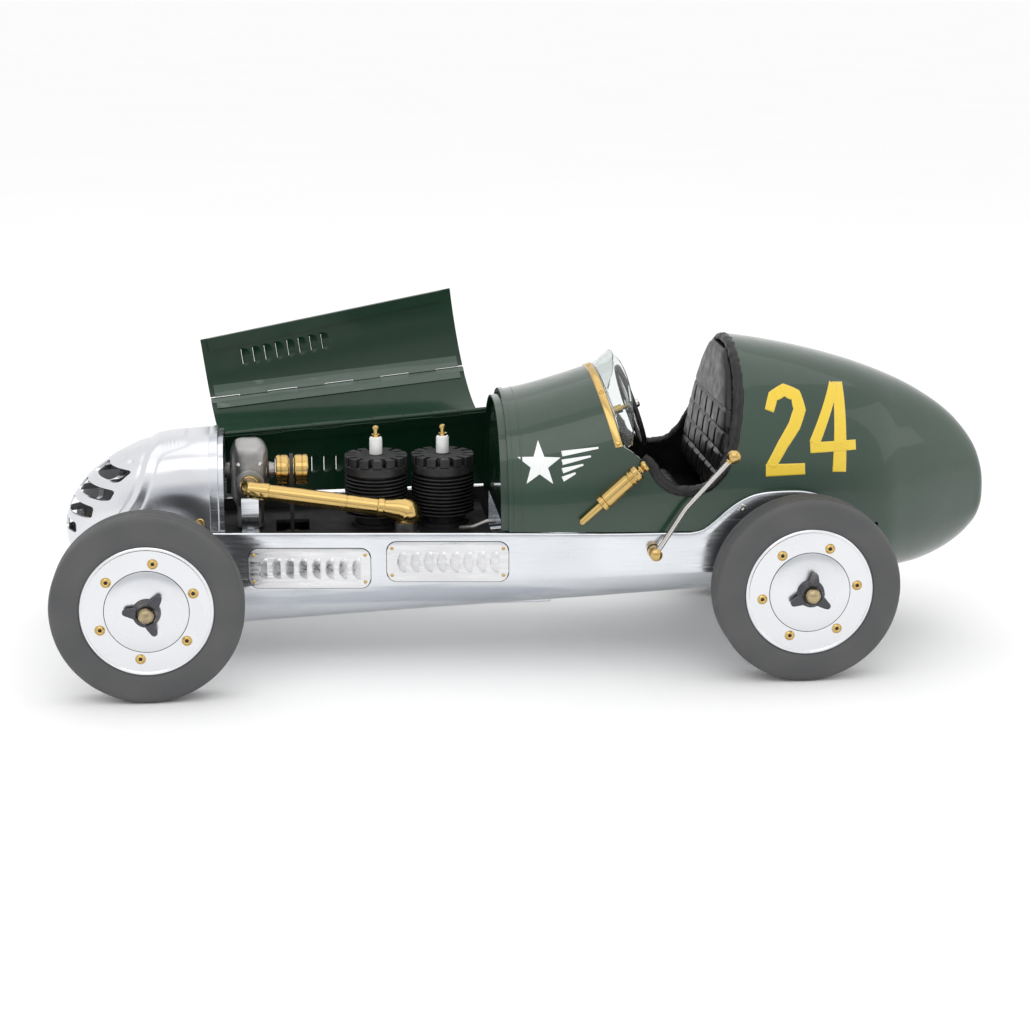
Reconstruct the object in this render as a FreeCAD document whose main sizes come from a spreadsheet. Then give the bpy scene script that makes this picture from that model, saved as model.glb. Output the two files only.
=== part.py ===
"""Display model of a late-1940s twin-cylinder tether racer with an open bonnet.

Frame: millimetres, +X from nose to tail, +Z up, the car's left side at -Y.
The origin is on the ground under the middle of the overall box. The bonnet stands
open past the far wheels, so the wheels' own middle plane is beside the origin. All
sizes and stations below are counted from that plane; the last section moves them over.
"""
import FreeCAD, Part
import math
import os
import Sketcher
from FreeCAD import Placement, Rotation, Vector

document = FreeCAD.newDocument("TetherRacer")
sheet = document.addObject("Spreadsheet::Sheet", "Sizes")

# ---------------------------------------------------------------- driving sizes
SIZES = {
    "tyre_radius": (53.6, "outer radius of the tyre"),
    "tyre_width": (23.0, "tyre from outer to inner sidewall"),
    "tyre_shoulder": (2.0, "rounding between sidewall and tread"),
    "disc_radius": (37.0, "polished wheel disc"),
    "disc_recess": (1.2, "disc face behind the sidewall"),
    "disc_skin": (2.6, "thickness of the disc's front plate"),
    "rim_wall": (3.0, "thickness of the rim barrel"),
    "dome_radius": (23.3, "hub dome on the disc"),
    "hub_radius": (9.0, "hub around the axle"),
    "bolt_circle": (27.5, "radius of the six disc bolts"),
    "bolt_hole": (1.6, "radius of a disc bolt hole"),
    "spinner_boss": (7.7, "radius of the knock-off nut"),
    "spinner_reach": (13.0, "wing tip radius of the knock-off nut"),
    "spinner_ball": (4.8, "ball in the middle of the nut"),
    "track_face": (98.0, "outer sidewall from the centreline"),
    "axle_radius": (4.0, "fixed axle"),
    "running_gap": (0.05, "radial clearance of a running shaft"),
    "axle_height": (53.6, "axle above the ground"),
    "front_axle_x": (-224.4, "front axle station"),
    "rear_axle_x": (147.8, "rear axle station"),
    "sheet_metal": (1.0, "bonnet panel thickness"),
    "casting": (1.8, "wall of the cast shells"),
    "rail_wall": (2.0, "thickness of the side rails"),
    "rail_top": (82.4, "top edge of the side rails"),
    "bonnet_front": (-184.0, "front edge of the bonnet"),
    "bonnet_rear": (-20.2, "rear edge of the bonnet"),
    "hinge_front_y": (34.0, "hinge line from the middle, at the bonnet's front"),
    "hinge_rear_y": (43.0, "hinge line from the middle, at the bonnet's rear"),
    "hinge_proud": (0.4, "hinge line above the outer skin"),
    "knuckle_radius": (1.3, "piano hinge knuckle"),
    "hinge_pin": (0.55, "piano hinge pin radius"),
    "bonnet_swing": (173.5, "how far the bonnet top is thrown over"),
    "engine_height": (75.0, "top of the engine tray"),
    "cylinder_radius": (17.3, "finned barrel"),
    "cylinder_base": (13.0, "barrel foot"),
    "cylinder_top": (117.4, "top of the cylinder head"),
    "cylinder_front_x": (-93.0, "front cylinder station"),
    "cylinder_rear_x": (-53.5, "rear cylinder station"),
    "plug_radius": (3.3, "white plug insulator"),
    "plug_height": (10.5, "insulator above the head"),
    "drum_radius": (9.3, "brass drum on the blower"),
    "drum_groove": (7.5, "belt groove of the drum"),
    "drum_front_x": (-152.2, "drum's front face"),
    "drum_length": (19.2, "drum's length"),
    "drum_height": (108.8, "drum shaft above the ground"),
    "belt_x": (-143.0, "belt station"),
    "belt_width": (2.2, "belt along the shaft"),
    "belt_thickness": (2.0, "belt across its loop"),
    "belt_gap": (0.3, "belt clearance in its grooves"),
    "crank_groove": (10.0, "belt groove of the crank pulley"),
    "crank_height": (60.0, "crankshaft above the ground"),
    "pipe_radius": (3.7, "brass intake pipe"),
    "lever_radius": (1.5, "handbrake rod"),
    "pivot_x": (62.8, "handbrake pivot"),
    "pivot_z": (71.9, "handbrake pivot"),
    "pump_radius": (3.1, "hand pump barrel"),
    "pump_length": (26.6, "hand pump barrel"),
    "wheel_rim": (24.0, "steering wheel radius"),
    "wheel_tube": (1.5, "steering wheel rim section radius"),
    "glass": (1.2, "windscreen thickness"),
    "louvre_plate_length": (70.0, "louvred plate on the rail"),
    "louvre_plate_height": (21.5, "louvred plate on the rail"),
    "louvre_plate_skin": (0.8, "louvred plate thickness"),
    "box_middle": (13.9, "middle of the overall box from the wheels' middle plane"),
}
for row, (alias, (value, note)) in enumerate(SIZES.items(), start=1):
    sheet.set("A%d" % row, alias)
    sheet.set("B%d" % row, str(value))
    sheet.set("C%d" % row, note)
    sheet.setAlias("B%d" % row, alias)
document.recompute()


class Size:
    """A length with the spreadsheet expression that produces it."""

    def __init__(self, text, value):
        self.text = text
        self.value = value

    @staticmethod
    def of(other):
        return other if isinstance(other, Size) else Size(repr(other), float(other))

    def join(self, sign, other, value):
        return Size("(%s %s %s)" % (self.text, sign, Size.of(other).text), value)

    def __add__(self, other):
        return self.join("+", other, self.value + Size.of(other).value)

    def __sub__(self, other):
        return self.join("-", other, self.value - Size.of(other).value)

    def __mul__(self, other):
        return self.join("*", other, self.value * Size.of(other).value)

    def __truediv__(self, other):
        return self.join("/", other, self.value / Size.of(other).value)

    def __neg__(self):
        return Size("(0 - %s)" % self.text, -self.value)


class Cells:
    """Cells of the sheet by alias, for instance S.tyre_radius."""

    def __getattr__(self, alias):
        return Size("Sizes." + alias, float(sheet.get(alias)))


S = Cells()
X_AXIS, Y_AXIS, Z_AXIS = Vector(1, 0, 0), Vector(0, 1, 0), Vector(0, 0, 1)
TURNED = {
    "+X": Rotation(Z_AXIS, X_AXIS),
    "+Y": Rotation(Z_AXIS, Y_AXIS),
    "-Y": Rotation(Z_AXIS, -Y_AXIS),
    "+Z": Rotation(),
}
nodes = {}


def bind(item, **sizes):
    """Bind properties to the sheet, or set them where a plain number is meant."""
    for name, size in sizes.items():
        if isinstance(size, Size):
            item.setExpression(name, size.text)
        else:
            setattr(item, name, size)


def put(item, x, y, z, rotation=Rotation()):
    """Place an object; coordinates that are sizes stay bound to the sheet."""
    spot = [Size.of(value) for value in (x, y, z)]
    item.Placement = Placement(Vector(*[size.value for size in spot]), rotation)
    for axis, size in zip("xyz", spot):
        item.setExpression("Placement.Base." + axis, size.text)
    return item


def box(name, x, y, z, length, width, height):
    """Box with its low corner at x, y, z."""
    item = document.addObject("Part::Box", name)
    bind(item, Length=length, Width=width, Height=height)
    return put(item, x, y, z)


def cylinder(name, x, y, z, radius, height, direction="+Z"):
    """Cylinder from its foot's centre along a direction or a rotation."""
    item = document.addObject("Part::Cylinder", name)
    bind(item, Radius=radius, Height=height)
    rotation = TURNED[direction] if isinstance(direction, str) else direction
    return put(item, x, y, z, rotation)


def sphere(name, x, y, z, radius):
    item = document.addObject("Part::Sphere", name)
    bind(item, Radius=radius)
    return put(item, x, y, z)


def fuse(name, *items):
    item = document.addObject("Part::MultiFuse", name)
    item.Shapes = list(items)
    return item


def cut(name, base, tool):
    item = document.addObject("Part::Cut", name)
    item.Base = base
    item.Tool = tool
    return item


def node(label, item):
    """Register an object as a sub-part; its label names the file."""
    item.Label = label
    nodes[label] = item
    return item


def free_form(label, shape, placement=None):
    """A sub-part whose shape comes from Part's own functions."""
    item = document.addObject("Part::Feature", label + "_form")
    item.Shape = shape
    if placement is not None:
        item.Placement = placement
    return node(label, item)


def revolved(name, profile):
    """PartDesign body: a closed (radius, axial) profile turned about local Y."""
    body = document.addObject("PartDesign::Body", name)
    sketch = body.newObject("Sketcher::SketchObject", name + "_profile")
    planes = [plane for plane in body.Origin.OriginFeatures if plane.Role == "XY_Plane"]
    sketch.AttachmentSupport = (planes[0], [""])
    sketch.MapMode = "FlatFace"
    corners = [Vector(Size.of(r).value, Size.of(a).value, 0) for r, a in profile]
    count = len(corners)
    for index in range(count):
        line = Part.LineSegment(corners[index], corners[(index + 1) % count])
        sketch.addGeometry(line, False)
    constraint = Sketcher.Constraint
    for index in range(count):
        sketch.addConstraint(constraint("Coincident", index, 2, (index + 1) % count, 1))
    for index, spot in enumerate(profile):
        for kind, size in zip(("DistanceX", "DistanceY"), spot):
            size = Size.of(size)
            made = sketch.addConstraint(constraint(kind, -1, 1, index, 1, size.value))
            if "Sizes." in size.text:
                sketch.setExpression("Constraints[%d]" % made, size.text)
    turned = body.newObject("PartDesign::Revolution", name + "_turned")
    turned.Profile = sketch
    turned.ReferenceAxis = (sketch, ["V_Axis"])
    turned.Angle = 360.0
    body.Tip = turned
    return body


# ------------------------------------------------------------------- hull form
# The whole body is one closed surface. At a station x it is a superellipse above
# and one below the waist line, given by these curves of (x, value) points.
HALF_WIDTH = [(-190, 40), (-20, 57), (32, 62.5), (83, 65.2), (120, 65.8), (150, 64.5),
              (176, 60.8), (203, 53.8), (218, 45), (236, 33.5), (256, 20), (270, 10.5),
              (275.5, 6.6), (277.3, 3.6), (278, 1.0)]
CREST = [(-190, 133.2), (-20, 153.7), (-6, 156), (16, 162), (34, 167.7), (60, 176.2),
         (90, 182.6), (115, 185.2), (124, 184.5), (149, 180.1), (173, 174.4),
         (198, 166.7), (224, 155.8), (243, 144.6), (256, 134.3), (266, 123), (272, 113.6),
         (275.5, 104.5), (277.3, 97), (278, 90)]
WAIST = [(-190, 82.4), (110, 82.4), (150, 80), (200, 76.6), (250, 77), (272, 79), (278, 86)]
KEEL = [(-190, 19.5), (-94, 26), (-15, 31.3), (100, 38.4), (200, 42.3), (229, 43.6),
        (248, 49), (263, 57.7), (272, 66.5), (275.5, 72.5), (277.3, 78), (278, 83)]
UPPER_POWER = [(-190, 3.33), (-20, 2.25), (60, 2.2), (278, 2.1)]
LOWER_POWER = [(-190, 3.5), (150, 3.2), (200, 2.2), (278, 2.0)]
NOSE_REAR = -190.0
NOSE_LENGTH = 85.0
NOSE_WAIST_DROP = 4.4
SEAM_FRONT_Z, SEAM_SLOPE, SEAM_FRONT_X = 47.3, 0.0425, -171.4
OUTLINE_POINTS = 17


def along(curve, x):
    """Smooth value of a curve of points at x, level beyond its ends."""
    if x <= curve[0][0]:
        return curve[0][1]
    if x >= curve[-1][0]:
        return curve[-1][1]
    index = max(i for i, spot in enumerate(curve) if spot[0] <= x)

    def slope(i):
        low, high = max(i - 1, 0), min(i + 1, len(curve) - 1)
        return (curve[high][1] - curve[low][1]) / (curve[high][0] - curve[low][0])

    (x0, v0), (x1, v1) = curve[index], curve[index + 1]
    span = x1 - x0
    t = (x - x0) / span
    return (v0 * (1 + 2 * t) * (1 - t) ** 2 + v1 * t * t * (3 - 2 * t)
            + span * (slope(index) * t * (1 - t) ** 2 + slope(index + 1) * t * t * (t - 1)))


def section(x):
    """Half width, crest, waist, keel and the two powers of the hull at x."""
    upper, lower = along(UPPER_POWER, x), along(LOWER_POWER, x)
    width, crest = along(HALF_WIDTH, x), along(CREST, x)
    waist, keel = along(WAIST, x), along(KEEL, x)
    if x < NOSE_REAR:
        part = min((NOSE_REAR - x) / NOSE_LENGTH, 1.0)
        swell = math.sqrt(1.0 - part * part)
        waist, low = waist - NOSE_WAIST_DROP * (1.0 - swell), waist - keel
        crest = waist + (crest - along(WAIST, x)) * swell
        keel = waist - low * swell
        width = width * swell
        upper = 2.1 + (upper - 2.1) * swell ** 2
        lower = 2.1 + (lower - 2.1) * swell ** 2
    return width, crest, waist, keel, upper, lower


def curve_through(points):
    curve = Part.BSplineCurve()
    curve.interpolate(points)
    return curve.toShape()


def arch(x, width, base, rise, power, first=0.0, last=math.pi, count=OUTLINE_POINTS):
    """Points of a superellipse arch over y at station x."""
    spots = []
    for index in range(count):
        angle = first + (last - first) * index / (count - 1)
        c, s = math.cos(angle), max(math.sin(angle), 0.0)
        y = math.copysign(abs(c) ** (2 / power), c) * width
        spots.append(Vector(x, y, base + rise * s ** (2 / power)))
    return spots


def hull_wire(x, inset):
    """Closed section of the hull, moved inwards by inset."""
    width, crest, waist, keel, upper, lower = section(x)
    width = width - inset
    top = arch(x, width, waist, crest - inset - waist, upper)
    bottom = arch(x, width, waist, keel + inset - waist, lower)
    return Part.Wire([curve_through(top), curve_through(list(reversed(bottom)))])


def hull(stations, inset=0.0, ruled=False):
    return Part.makeLoft([hull_wire(x, inset) for x in stations], True, ruled)


def slab(x0, x1, z0, z1, y0=-120.0, y1=120.0):
    """Block used to keep or remove a region."""
    return Part.makeBox(x1 - x0, y1 - y0, z1 - z0, Vector(x0, y0, z0))


def side_profile(points, y0=-120.0, y1=120.0, smooth=False):
    """Closed outline in x and z, pushed through from y0 to y1."""
    spots = [Vector(x, y0, z) for x, z in points]
    if smooth:
        edges = [curve_through(spots), Part.makeLine(spots[-1], spots[0])]
        wire = Part.Wire(edges)
    else:
        wire = Part.makePolygon(spots + [spots[0]])
    return Part.Face(wire).extrude(Vector(0, y1 - y0, 0))


def largest(shape):
    """The main solid, without slivers that crossing cuts leave."""
    return max(shape.Solids, key=lambda solid: solid.Volume)


def seam_height(x):
    return SEAM_FRONT_Z + SEAM_SLOPE * (x - SEAM_FRONT_X)


BODY_STATIONS = [-19.5, 5, 30, 58, 88, 118, 146, 172, 198, 218, 236, 252, 264, 270.5, 274.5,
                 276.6, 277.7]
NOSE_STATIONS = [NOSE_REAR - NOSE_LENGTH * math.sin(math.radians(angle))
                 for angle in (0, 8, 16, 24, 32, 40, 48, 56, 63, 70, 76, 81, 85, 87.5)]
PAN_STATIONS = [-190, -150, -110, -70, -30, 10, 50, 90, 130, 155, 177, 197.5]
WALL = S.casting.value

body_outer = hull(BODY_STATIONS)
body_inner = hull([x for x in BODY_STATIONS if x < 265], WALL)

# Side view of the cockpit opening, from the screen down, back and up to the seat.
SCREEN_LINE = [(36.3, 168.0), (46.3, 131.0)]
OPENING_FLOOR = [(46.3, 131.0), (52, 127.5), (60, 120.5), (66, 111.5), (74, 105.8),
                 (84, 104.3), (94, 107.0), (102, 114.0), (108.5, 126.0), (113, 142),
                 (116, 160), (117.3, 190)]
opening = side_profile(OPENING_FLOOR + [(32, 190), (36.3, 168.0)])
body_form = body_outer.cut(body_inner)
body_form = body_form.cut(slab(-60, 197.8, 0, S.rail_top.value + 0.3))
body_form = body_form.cut(opening)
free_form("body_shell", body_form)

# ---------------------------------------------------------------- nose and pan
nose_outer = hull(NOSE_STATIONS, 0.0, True)
nose_inner = hull(NOSE_STATIONS[:-2], WALL, True)
nose_skin = nose_outer.cut(nose_inner)
AXLE_SLOT = 6.5
axle_slot = Part.makeCylinder(AXLE_SLOT, 240, Vector(S.front_axle_x.value, -120,
                                                      S.axle_height.value), Y_AXIS)
axle_slot = axle_slot.fuse(slab(S.front_axle_x.value - AXLE_SLOT,
                                S.front_axle_x.value + AXLE_SLOT, 0, S.axle_height.value))
RAIL_FRONT = -205.0
SEAM_AT_NOSE = seam_height(RAIL_FRONT)
RAIL_STEP = S.rail_top.value + 0.2
nose_form = nose_skin.cut(slab(-300, -189, 0, SEAM_AT_NOSE + 0.15))
nose_form = nose_form.cut(slab(RAIL_FRONT - 0.2, -189, 0, RAIL_STEP))
nose_form = nose_form.cut(axle_slot)


def grille_hole(side, inner, outer):
    """Rounded slot through the front of the nose, from the middle rib to the cheek."""
    (inner_y, inner_low, inner_top), (outer_y, outer_low, outer_top) = inner, outer
    corners = [Vector(-300, side * y, z) for y, z in (
        (inner_y, inner_low), (outer_y, outer_low), (outer_y, outer_top), (inner_y, inner_top))]
    tool = Part.Face(Part.makePolygon(corners + corners[:1])).extrude(X_AXIS * 74.0)
    upright = [edge for edge in tool.Edges if abs(edge.tangentAt(edge.FirstParameter).x) > 0.9]
    return tool.makeFillet(1.9, upright)


# Each row: half width, low and top of the slot at the middle rib, and at the cheek.
GRILLE = [((3.2, 112.0, 118.6), (27.4, 109.4, 116.6)), ((3.2, 101.6, 108.6), (28.2, 98.8, 105.4)),
          ((3.0, 89.8, 98.2), (23.6, 87.8, 94.8)), ((2.6, 78.6, 86.2), (16.0, 77.6, 83.8))]
nose_form = nose_form.cut([grille_hole(side, *row) for row in GRILLE for side in (-1, 1)])
free_form("nose_shell", largest(nose_form))


def band(x0, x1, top_inset, thickness, base):
    """Arched strip inside the hull from x0 to x1, open below base."""
    ring = hull([x0, x1], top_inset).cut(hull([x0 - 1, x1 + 1], top_inset + thickness))
    return ring.cut(slab(x0 - 5, x1 + 5, 0, base))


# Bonnet rests: one riveted inside the nose, one on the front of the cowl.
free_form("nose_flange", band(-189.9, -182.0, WALL + 0.1, 1.2, RAIL_STEP))
cowl_rest = band(-24.0, -19.6, S.sheet_metal.value + 1.9, 1.4, RAIL_STEP)
bulkhead = hull([-20.6, -19.6], S.sheet_metal.value + 1.9).cut(slab(-30, 0, 0, 80))
bulkhead = bulkhead.cut(Part.makeCylinder(4.0, 20, Vector(-30, 18, 100), X_AXIS))
free_form("firewall", cowl_rest.fuse(bulkhead))

lower_stations = list(reversed(NOSE_STATIONS)) + PAN_STATIONS[1:]
below_seam = side_profile([(-300, 0), (200, 0), (200, seam_height(200)),
                           (RAIL_FRONT, SEAM_AT_NOSE), (-300, SEAM_AT_NOSE)])
pan_form = hull(lower_stations, 0.0, True).cut(hull(lower_stations[2:], WALL, True))
pan_form = pan_form.common(below_seam)
rear_slot = Part.makeCylinder(AXLE_SLOT, 240, Vector(S.rear_axle_x.value, -120,
                                                      S.axle_height.value), Y_AXIS)
pan_form = pan_form.cut(rear_slot)
STAND_X, STAND_SIZE = -20.0, (60.0, 36.0)
stand_z = along(KEEL, STAND_X - STAND_SIZE[0] / 2) - 1.0
stand_pad = Part.makeBox(STAND_SIZE[0], STAND_SIZE[1], 6.0, Vector(
    STAND_X - STAND_SIZE[0] / 2, -STAND_SIZE[1] / 2, stand_z))
stand_hole = Part.makeCylinder(2.1, 20, Vector(STAND_X, 0, stand_z - 5), Z_AXIS)
pan_form = pan_form.fuse(stand_pad).cut(stand_hole)
free_form("pan_belly", largest(pan_form))

# Side rails: flat plates that follow the body and sweep over the rear axle.
RAIL_HALF_WIDTH = [(-205, 40.2), (-190, 41.6), (-20, 58.6), (32, 64.3), (83, 67.3),
                   (110, 68.2), (150, 67.4), (176, 64.4), (197, 59.4)]
ARCH_TOP = [(84, 82.4), (91, 84.0), (98, 89.2), (105, 95.5), (113, 101), (121, 104.3),
            (131, 105.7), (148, 105.6), (158, 103.5), (167, 100.3), (180, 93.6), (190, 86.5),
            (197, 79.5)]
RAIL_STATIONS = [-205, -20, 32, 60, 84, 91, 98, 105, 113, 121, 131, 148, 158, 167, 176, 186,
                 197]


def rail_section(x, side):
    outer = along(RAIL_HALF_WIDTH, x) if x > -20 else 58.6 + (x + 20) * 0.1
    inner = outer - S.rail_wall.value
    top = along(ARCH_TOP, x) if x > 84 else S.rail_top.value
    low = seam_height(x) + 0.1
    return Part.makePolygon([Vector(x, side * y, z) for y, z in (
        (outer, low), (outer, top), (inner, top), (inner, low), (outer, low))])


for label, side in (("rail_near", -1), ("rail_far", 1)):
    sections = [rail_section(x, side) for x in RAIL_STATIONS]
    free_form(label, Part.makeLoft(sections, True, True))

# ------------------------------------------------------------------- the bonnet
FRONT_X, REAR_X = S.bonnet_front.value, S.bonnet_rear.value
SKIN = S.sheet_metal.value
PROUD = S.hinge_proud.value


def hinge_angle(x, y):
    """Superellipse angle of the hinge line on the section at x."""
    width, _, _, _, upper, _ = section(x)
    return math.acos((y / (width + PROUD)) ** (upper / 2))


def skin_point(x, angle, depth):
    """Point of the section at x, depth under the outer skin."""
    width, crest, waist, _, upper, _ = section(x)
    rise = crest - depth - waist
    c, s = math.cos(angle), math.sin(angle)
    y = math.copysign(abs(c) ** (2 / upper), c) * (width - depth)
    return Vector(x, y, waist + rise * s ** (2 / upper))


hinge_at = [hinge_angle(FRONT_X, S.hinge_front_y.value), hinge_angle(REAR_X, S.hinge_rear_y.value)]
FAR_HINGE = (skin_point(FRONT_X, hinge_at[0], -PROUD), skin_point(REAR_X, hinge_at[1], -PROUD))
NEAR_HINGE = tuple(Vector(spot.x, -spot.y, spot.z) for spot in FAR_HINGE)
PANEL_GAP = (0.050, 0.028)
PANEL_FOOT = 0.008
LEAF_EDGE, LEAF_REACH = (0.028, 0.015), (0.240, 0.130)
KNUCKLES = 9
# Outline of a knuckle's arm: along the skin from the axis, and depth below it.
ARM = [(0.25, 0.0), (1.1, 0.0), (1.1, 1.7), (3.0, 1.7), (3.0, 2.2), (0.25, 2.2)]


def beside(angles, offsets, way):
    """Angles at the bonnet's front and rear, moved along the section."""
    return [angle + way * offset for angle, offset in zip(angles, offsets)]


def bonnet_strip(first, last, outer_depth, inner_depth, x0=FRONT_X, x1=REAR_X):
    """Sheet between two angles of the section; angles are (front, rear) pairs."""
    wires = []
    for x in (x0, x1):
        width, crest, waist, _, upper, _ = section(x)
        t = (x - FRONT_X) / (REAR_X - FRONT_X)
        start = first[0] + (first[1] - first[0]) * t
        end = last[0] + (last[1] - last[0]) * t
        edges = []
        for depth in (outer_depth, inner_depth):
            edges.append(arch(x, width - depth, waist, crest - depth - waist, upper,
                              start, end, 13))
        outside, inside = edges
        wires.append(Part.Wire([
            curve_through(outside), Part.makeLine(outside[-1], inside[-1]),
            curve_through(list(reversed(inside))), Part.makeLine(inside[0], outside[0])]))
    return Part.makeLoft(wires, True, True)


near_at = [math.pi - angle for angle in hinge_at]
FAR_SIDE = ([PANEL_FOOT] * 2, beside(hinge_at, PANEL_GAP, -1))
TOP = (beside(hinge_at, PANEL_GAP, 1), beside(near_at, PANEL_GAP, -1))
LOUVRES, LOUVRE_FIRST_X, LOUVRE_PITCH = 8, -160.0, 7.4
LOUVRE_SLOT = (1.6, 11.0)
LOUVRE_LOW = 96.0
# The stiffening lip stops short of the rests in front of and behind the bonnet.
LIP_ENDS = (FRONT_X + 4.0, REAR_X - 6.0)


def side_panel():
    """Far side panel with the upright slots that its pressed louvres leave open."""
    shape = bonnet_strip(*FAR_SIDE, 0.0, SKIN)
    slots = []
    for index in range(LOUVRES):
        x = LOUVRE_FIRST_X + index * LOUVRE_PITCH
        slots.append(slab(x, x + LOUVRE_SLOT[0], LOUVRE_LOW, LOUVRE_LOW + LOUVRE_SLOT[1], 20, 70))
    return shape.cut(slots)


def piano_hinge(hinge, angles, way, own_first, with_pin):
    """Leaf under the panel, every other knuckle on its arm, and perhaps the pin."""
    start, end = hinge
    lengthwise = (end - start).normalize()
    pitch = start.distanceToPoint(end) / KNUCKLES
    turn = Rotation(Z_AXIS, lengthwise)
    clear = 0.15
    edge, reach = beside(angles, LEAF_EDGE, way), beside(angles, LEAF_REACH, way)
    first, last = (edge, reach) if way > 0 else (reach, edge)
    shape = bonnet_strip(first, last, SKIN + 0.08, SKIN + 0.58)
    shape = shape.common(slab(FRONT_X + 3, REAR_X - 3, 0, 200))
    for index in range(own_first, KNUCKLES, 2):
        foot = start + lengthwise * (index * pitch + clear)
        knuckle = Part.makeCylinder(S.knuckle_radius.value, pitch - 2 * clear)
        knuckle.Placement = Placement(foot, turn)
        share = (index + 0.5) / KNUCKLES
        here = [skin_point(x, angle, 0.0) for x, angle in zip((FRONT_X, REAR_X), angles)]
        there = [skin_point(x, angle, 0.0) for x, angle in zip((FRONT_X, REAR_X), edge)]
        across = (there[0] - here[0]) * (1 - share) + (there[1] - here[1]) * share
        across = (across - lengthwise * across.dot(lengthwise)).normalize()
        inward = lengthwise.cross(across) * way
        outline = [foot + across * side + inward * depth for side, depth in ARM]
        arm = Part.Face(Part.makePolygon(outline + outline[:1]))
        shape = shape.fuse([knuckle, arm.extrude(lengthwise * (pitch - 2 * clear))])
    pin_radius = S.hinge_pin.value + (0.0 if with_pin else S.running_gap.value)
    pin = Part.makeCylinder(pin_radius, pitch * KNUCKLES - 2 * clear)
    pin.Placement = Placement(start + lengthwise * clear, turn)
    return shape.fuse(pin) if with_pin else shape.cut(pin)


def thrown_open(degrees):
    """Placement that turns closed bonnet parts over the far hinge."""
    start, end = FAR_HINGE
    return Placement(Vector(0, 0, 0), Rotation((end - start).normalize(), -degrees), start)


swing = thrown_open(S.bonnet_swing.value)
free_form("hood_side_far", side_panel())
free_form("hinge_far_fixed", piano_hinge(FAR_HINGE, hinge_at, -1, 0, True))
free_form("hood_top_panel", bonnet_strip(*TOP, 0.0, SKIN), swing)
free_form("hinge_far_moving", piano_hinge(FAR_HINGE, hinge_at, 1, 1, False), swing)
free_form("hinge_near_top", piano_hinge(NEAR_HINGE, near_at, -1, 0, True), swing)
lip = bonnet_strip([PANEL_FOOT] * 2, [0.03] * 2, SKIN / 2, SKIN + 2.0, *LIP_ENDS)
near_panel = side_panel().fuse(lip).mirror(Vector(0, 0, 0), Y_AXIS)
free_form("hood_side_near", near_panel, swing)
free_form("hinge_near_side", piano_hinge(NEAR_HINGE, near_at, 1, 1, False), swing)

# ------------------------------------------------------------- wheels and axles
WHEELS = {
    "front_near": (S.front_axle_x, -1), "front_far": (S.front_axle_x, 1),
    "rear_near": (S.rear_axle_x, -1), "rear_far": (S.rear_axle_x, 1),
}
WINGS = 3
BOLTS = 6


def wheel_spot(item, x, side):
    """Stand a wheel piece, made facing -Y, on its axle end."""
    turn = Rotation() if side < 0 else Rotation(Z_AXIS, 180)
    return put(item, x, S.track_face if side > 0 else -S.track_face, S.axle_height, turn)


def tyre(label):
    edge, width = S.tyre_radius - S.tyre_shoulder, S.tyre_width
    return revolved(label, [
        (S.disc_radius, S.disc_recess), (S.disc_radius + 2.5, 0.0), (edge, 0.0),
        (S.tyre_radius, S.tyre_shoulder * 2), (S.tyre_radius, width - S.tyre_shoulder * 2),
        (edge, width), (S.disc_radius + 2.5, width), (S.disc_radius, width - S.disc_recess)])


def wheel_disc(label):
    """Front plate, rim barrel and hub with the axle bore, then six bolt holes."""
    face, back = S.disc_recess, S.disc_recess + S.disc_skin
    bore, rim = S.axle_radius + S.running_gap, S.disc_radius - S.rim_wall
    end = S.tyre_width - S.disc_recess
    body = revolved(label, [
        (0.0, face - 2.2), (8.0, face - 2.0), (16.0, face - 1.2), (S.dome_radius, face),
        (S.disc_radius, face), (S.disc_radius, end), (rim, end), (rim, back),
        (S.hub_radius, back), (S.hub_radius, end), (bore, end), (bore, back), (0.0, back)])
    return body


def bolt_holes(label, body):
    tools = []
    for index in range(BOLTS):
        angle = math.radians(60 * index + 21)
        copy = document.addObject("Part::Cylinder", "%s_hole_%d" % (label, index))
        bind(copy, Radius=S.bolt_hole, Height=12.0)
        put(copy, S.bolt_circle * math.cos(angle), -4.0, S.bolt_circle * math.sin(angle),
            TURNED["+Y"])
        tools.append(copy)
    return cut(label + "_drilled", body, fuse(label + "_holes", *tools))


def spinner(label):
    """Three-winged knock-off nut in front of the hub dome."""
    foot = S.disc_recess - 2.3
    boss = cylinder(label + "_boss", 0.0, foot, 0.0, S.spinner_boss, 4.0, "-Y")
    ball = sphere(label + "_ball", 0.0, foot - 4.9, 0.0, S.spinner_ball)
    items = [boss, ball]
    for index in range(WINGS):
        wing = document.addObject("Part::Box", "%s_wing_%d" % (label, index))
        bind(wing, Length=S.spinner_reach, Width=3.2, Height=4.4)
        turn = Rotation(Y_AXIS, 120.0 * index - 52.0)
        corner = turn.multVec(Vector(0, 0, -2.2))
        put(wing, corner.x, foot - 3.7, corner.z, turn)
        items.append(wing)
    return fuse(label, *items)


for corner, (axle_x, side) in WHEELS.items():
    node("tyre_" + corner, wheel_spot(tyre("tyre_%s_body" % corner), axle_x, side))
    disc = bolt_holes("disc_" + corner, wheel_disc("disc_%s_body" % corner))
    node("disc_" + corner, wheel_spot(disc, axle_x, side))
    node("spinner_" + corner, wheel_spot(spinner("nut_" + corner), axle_x, side))


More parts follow.
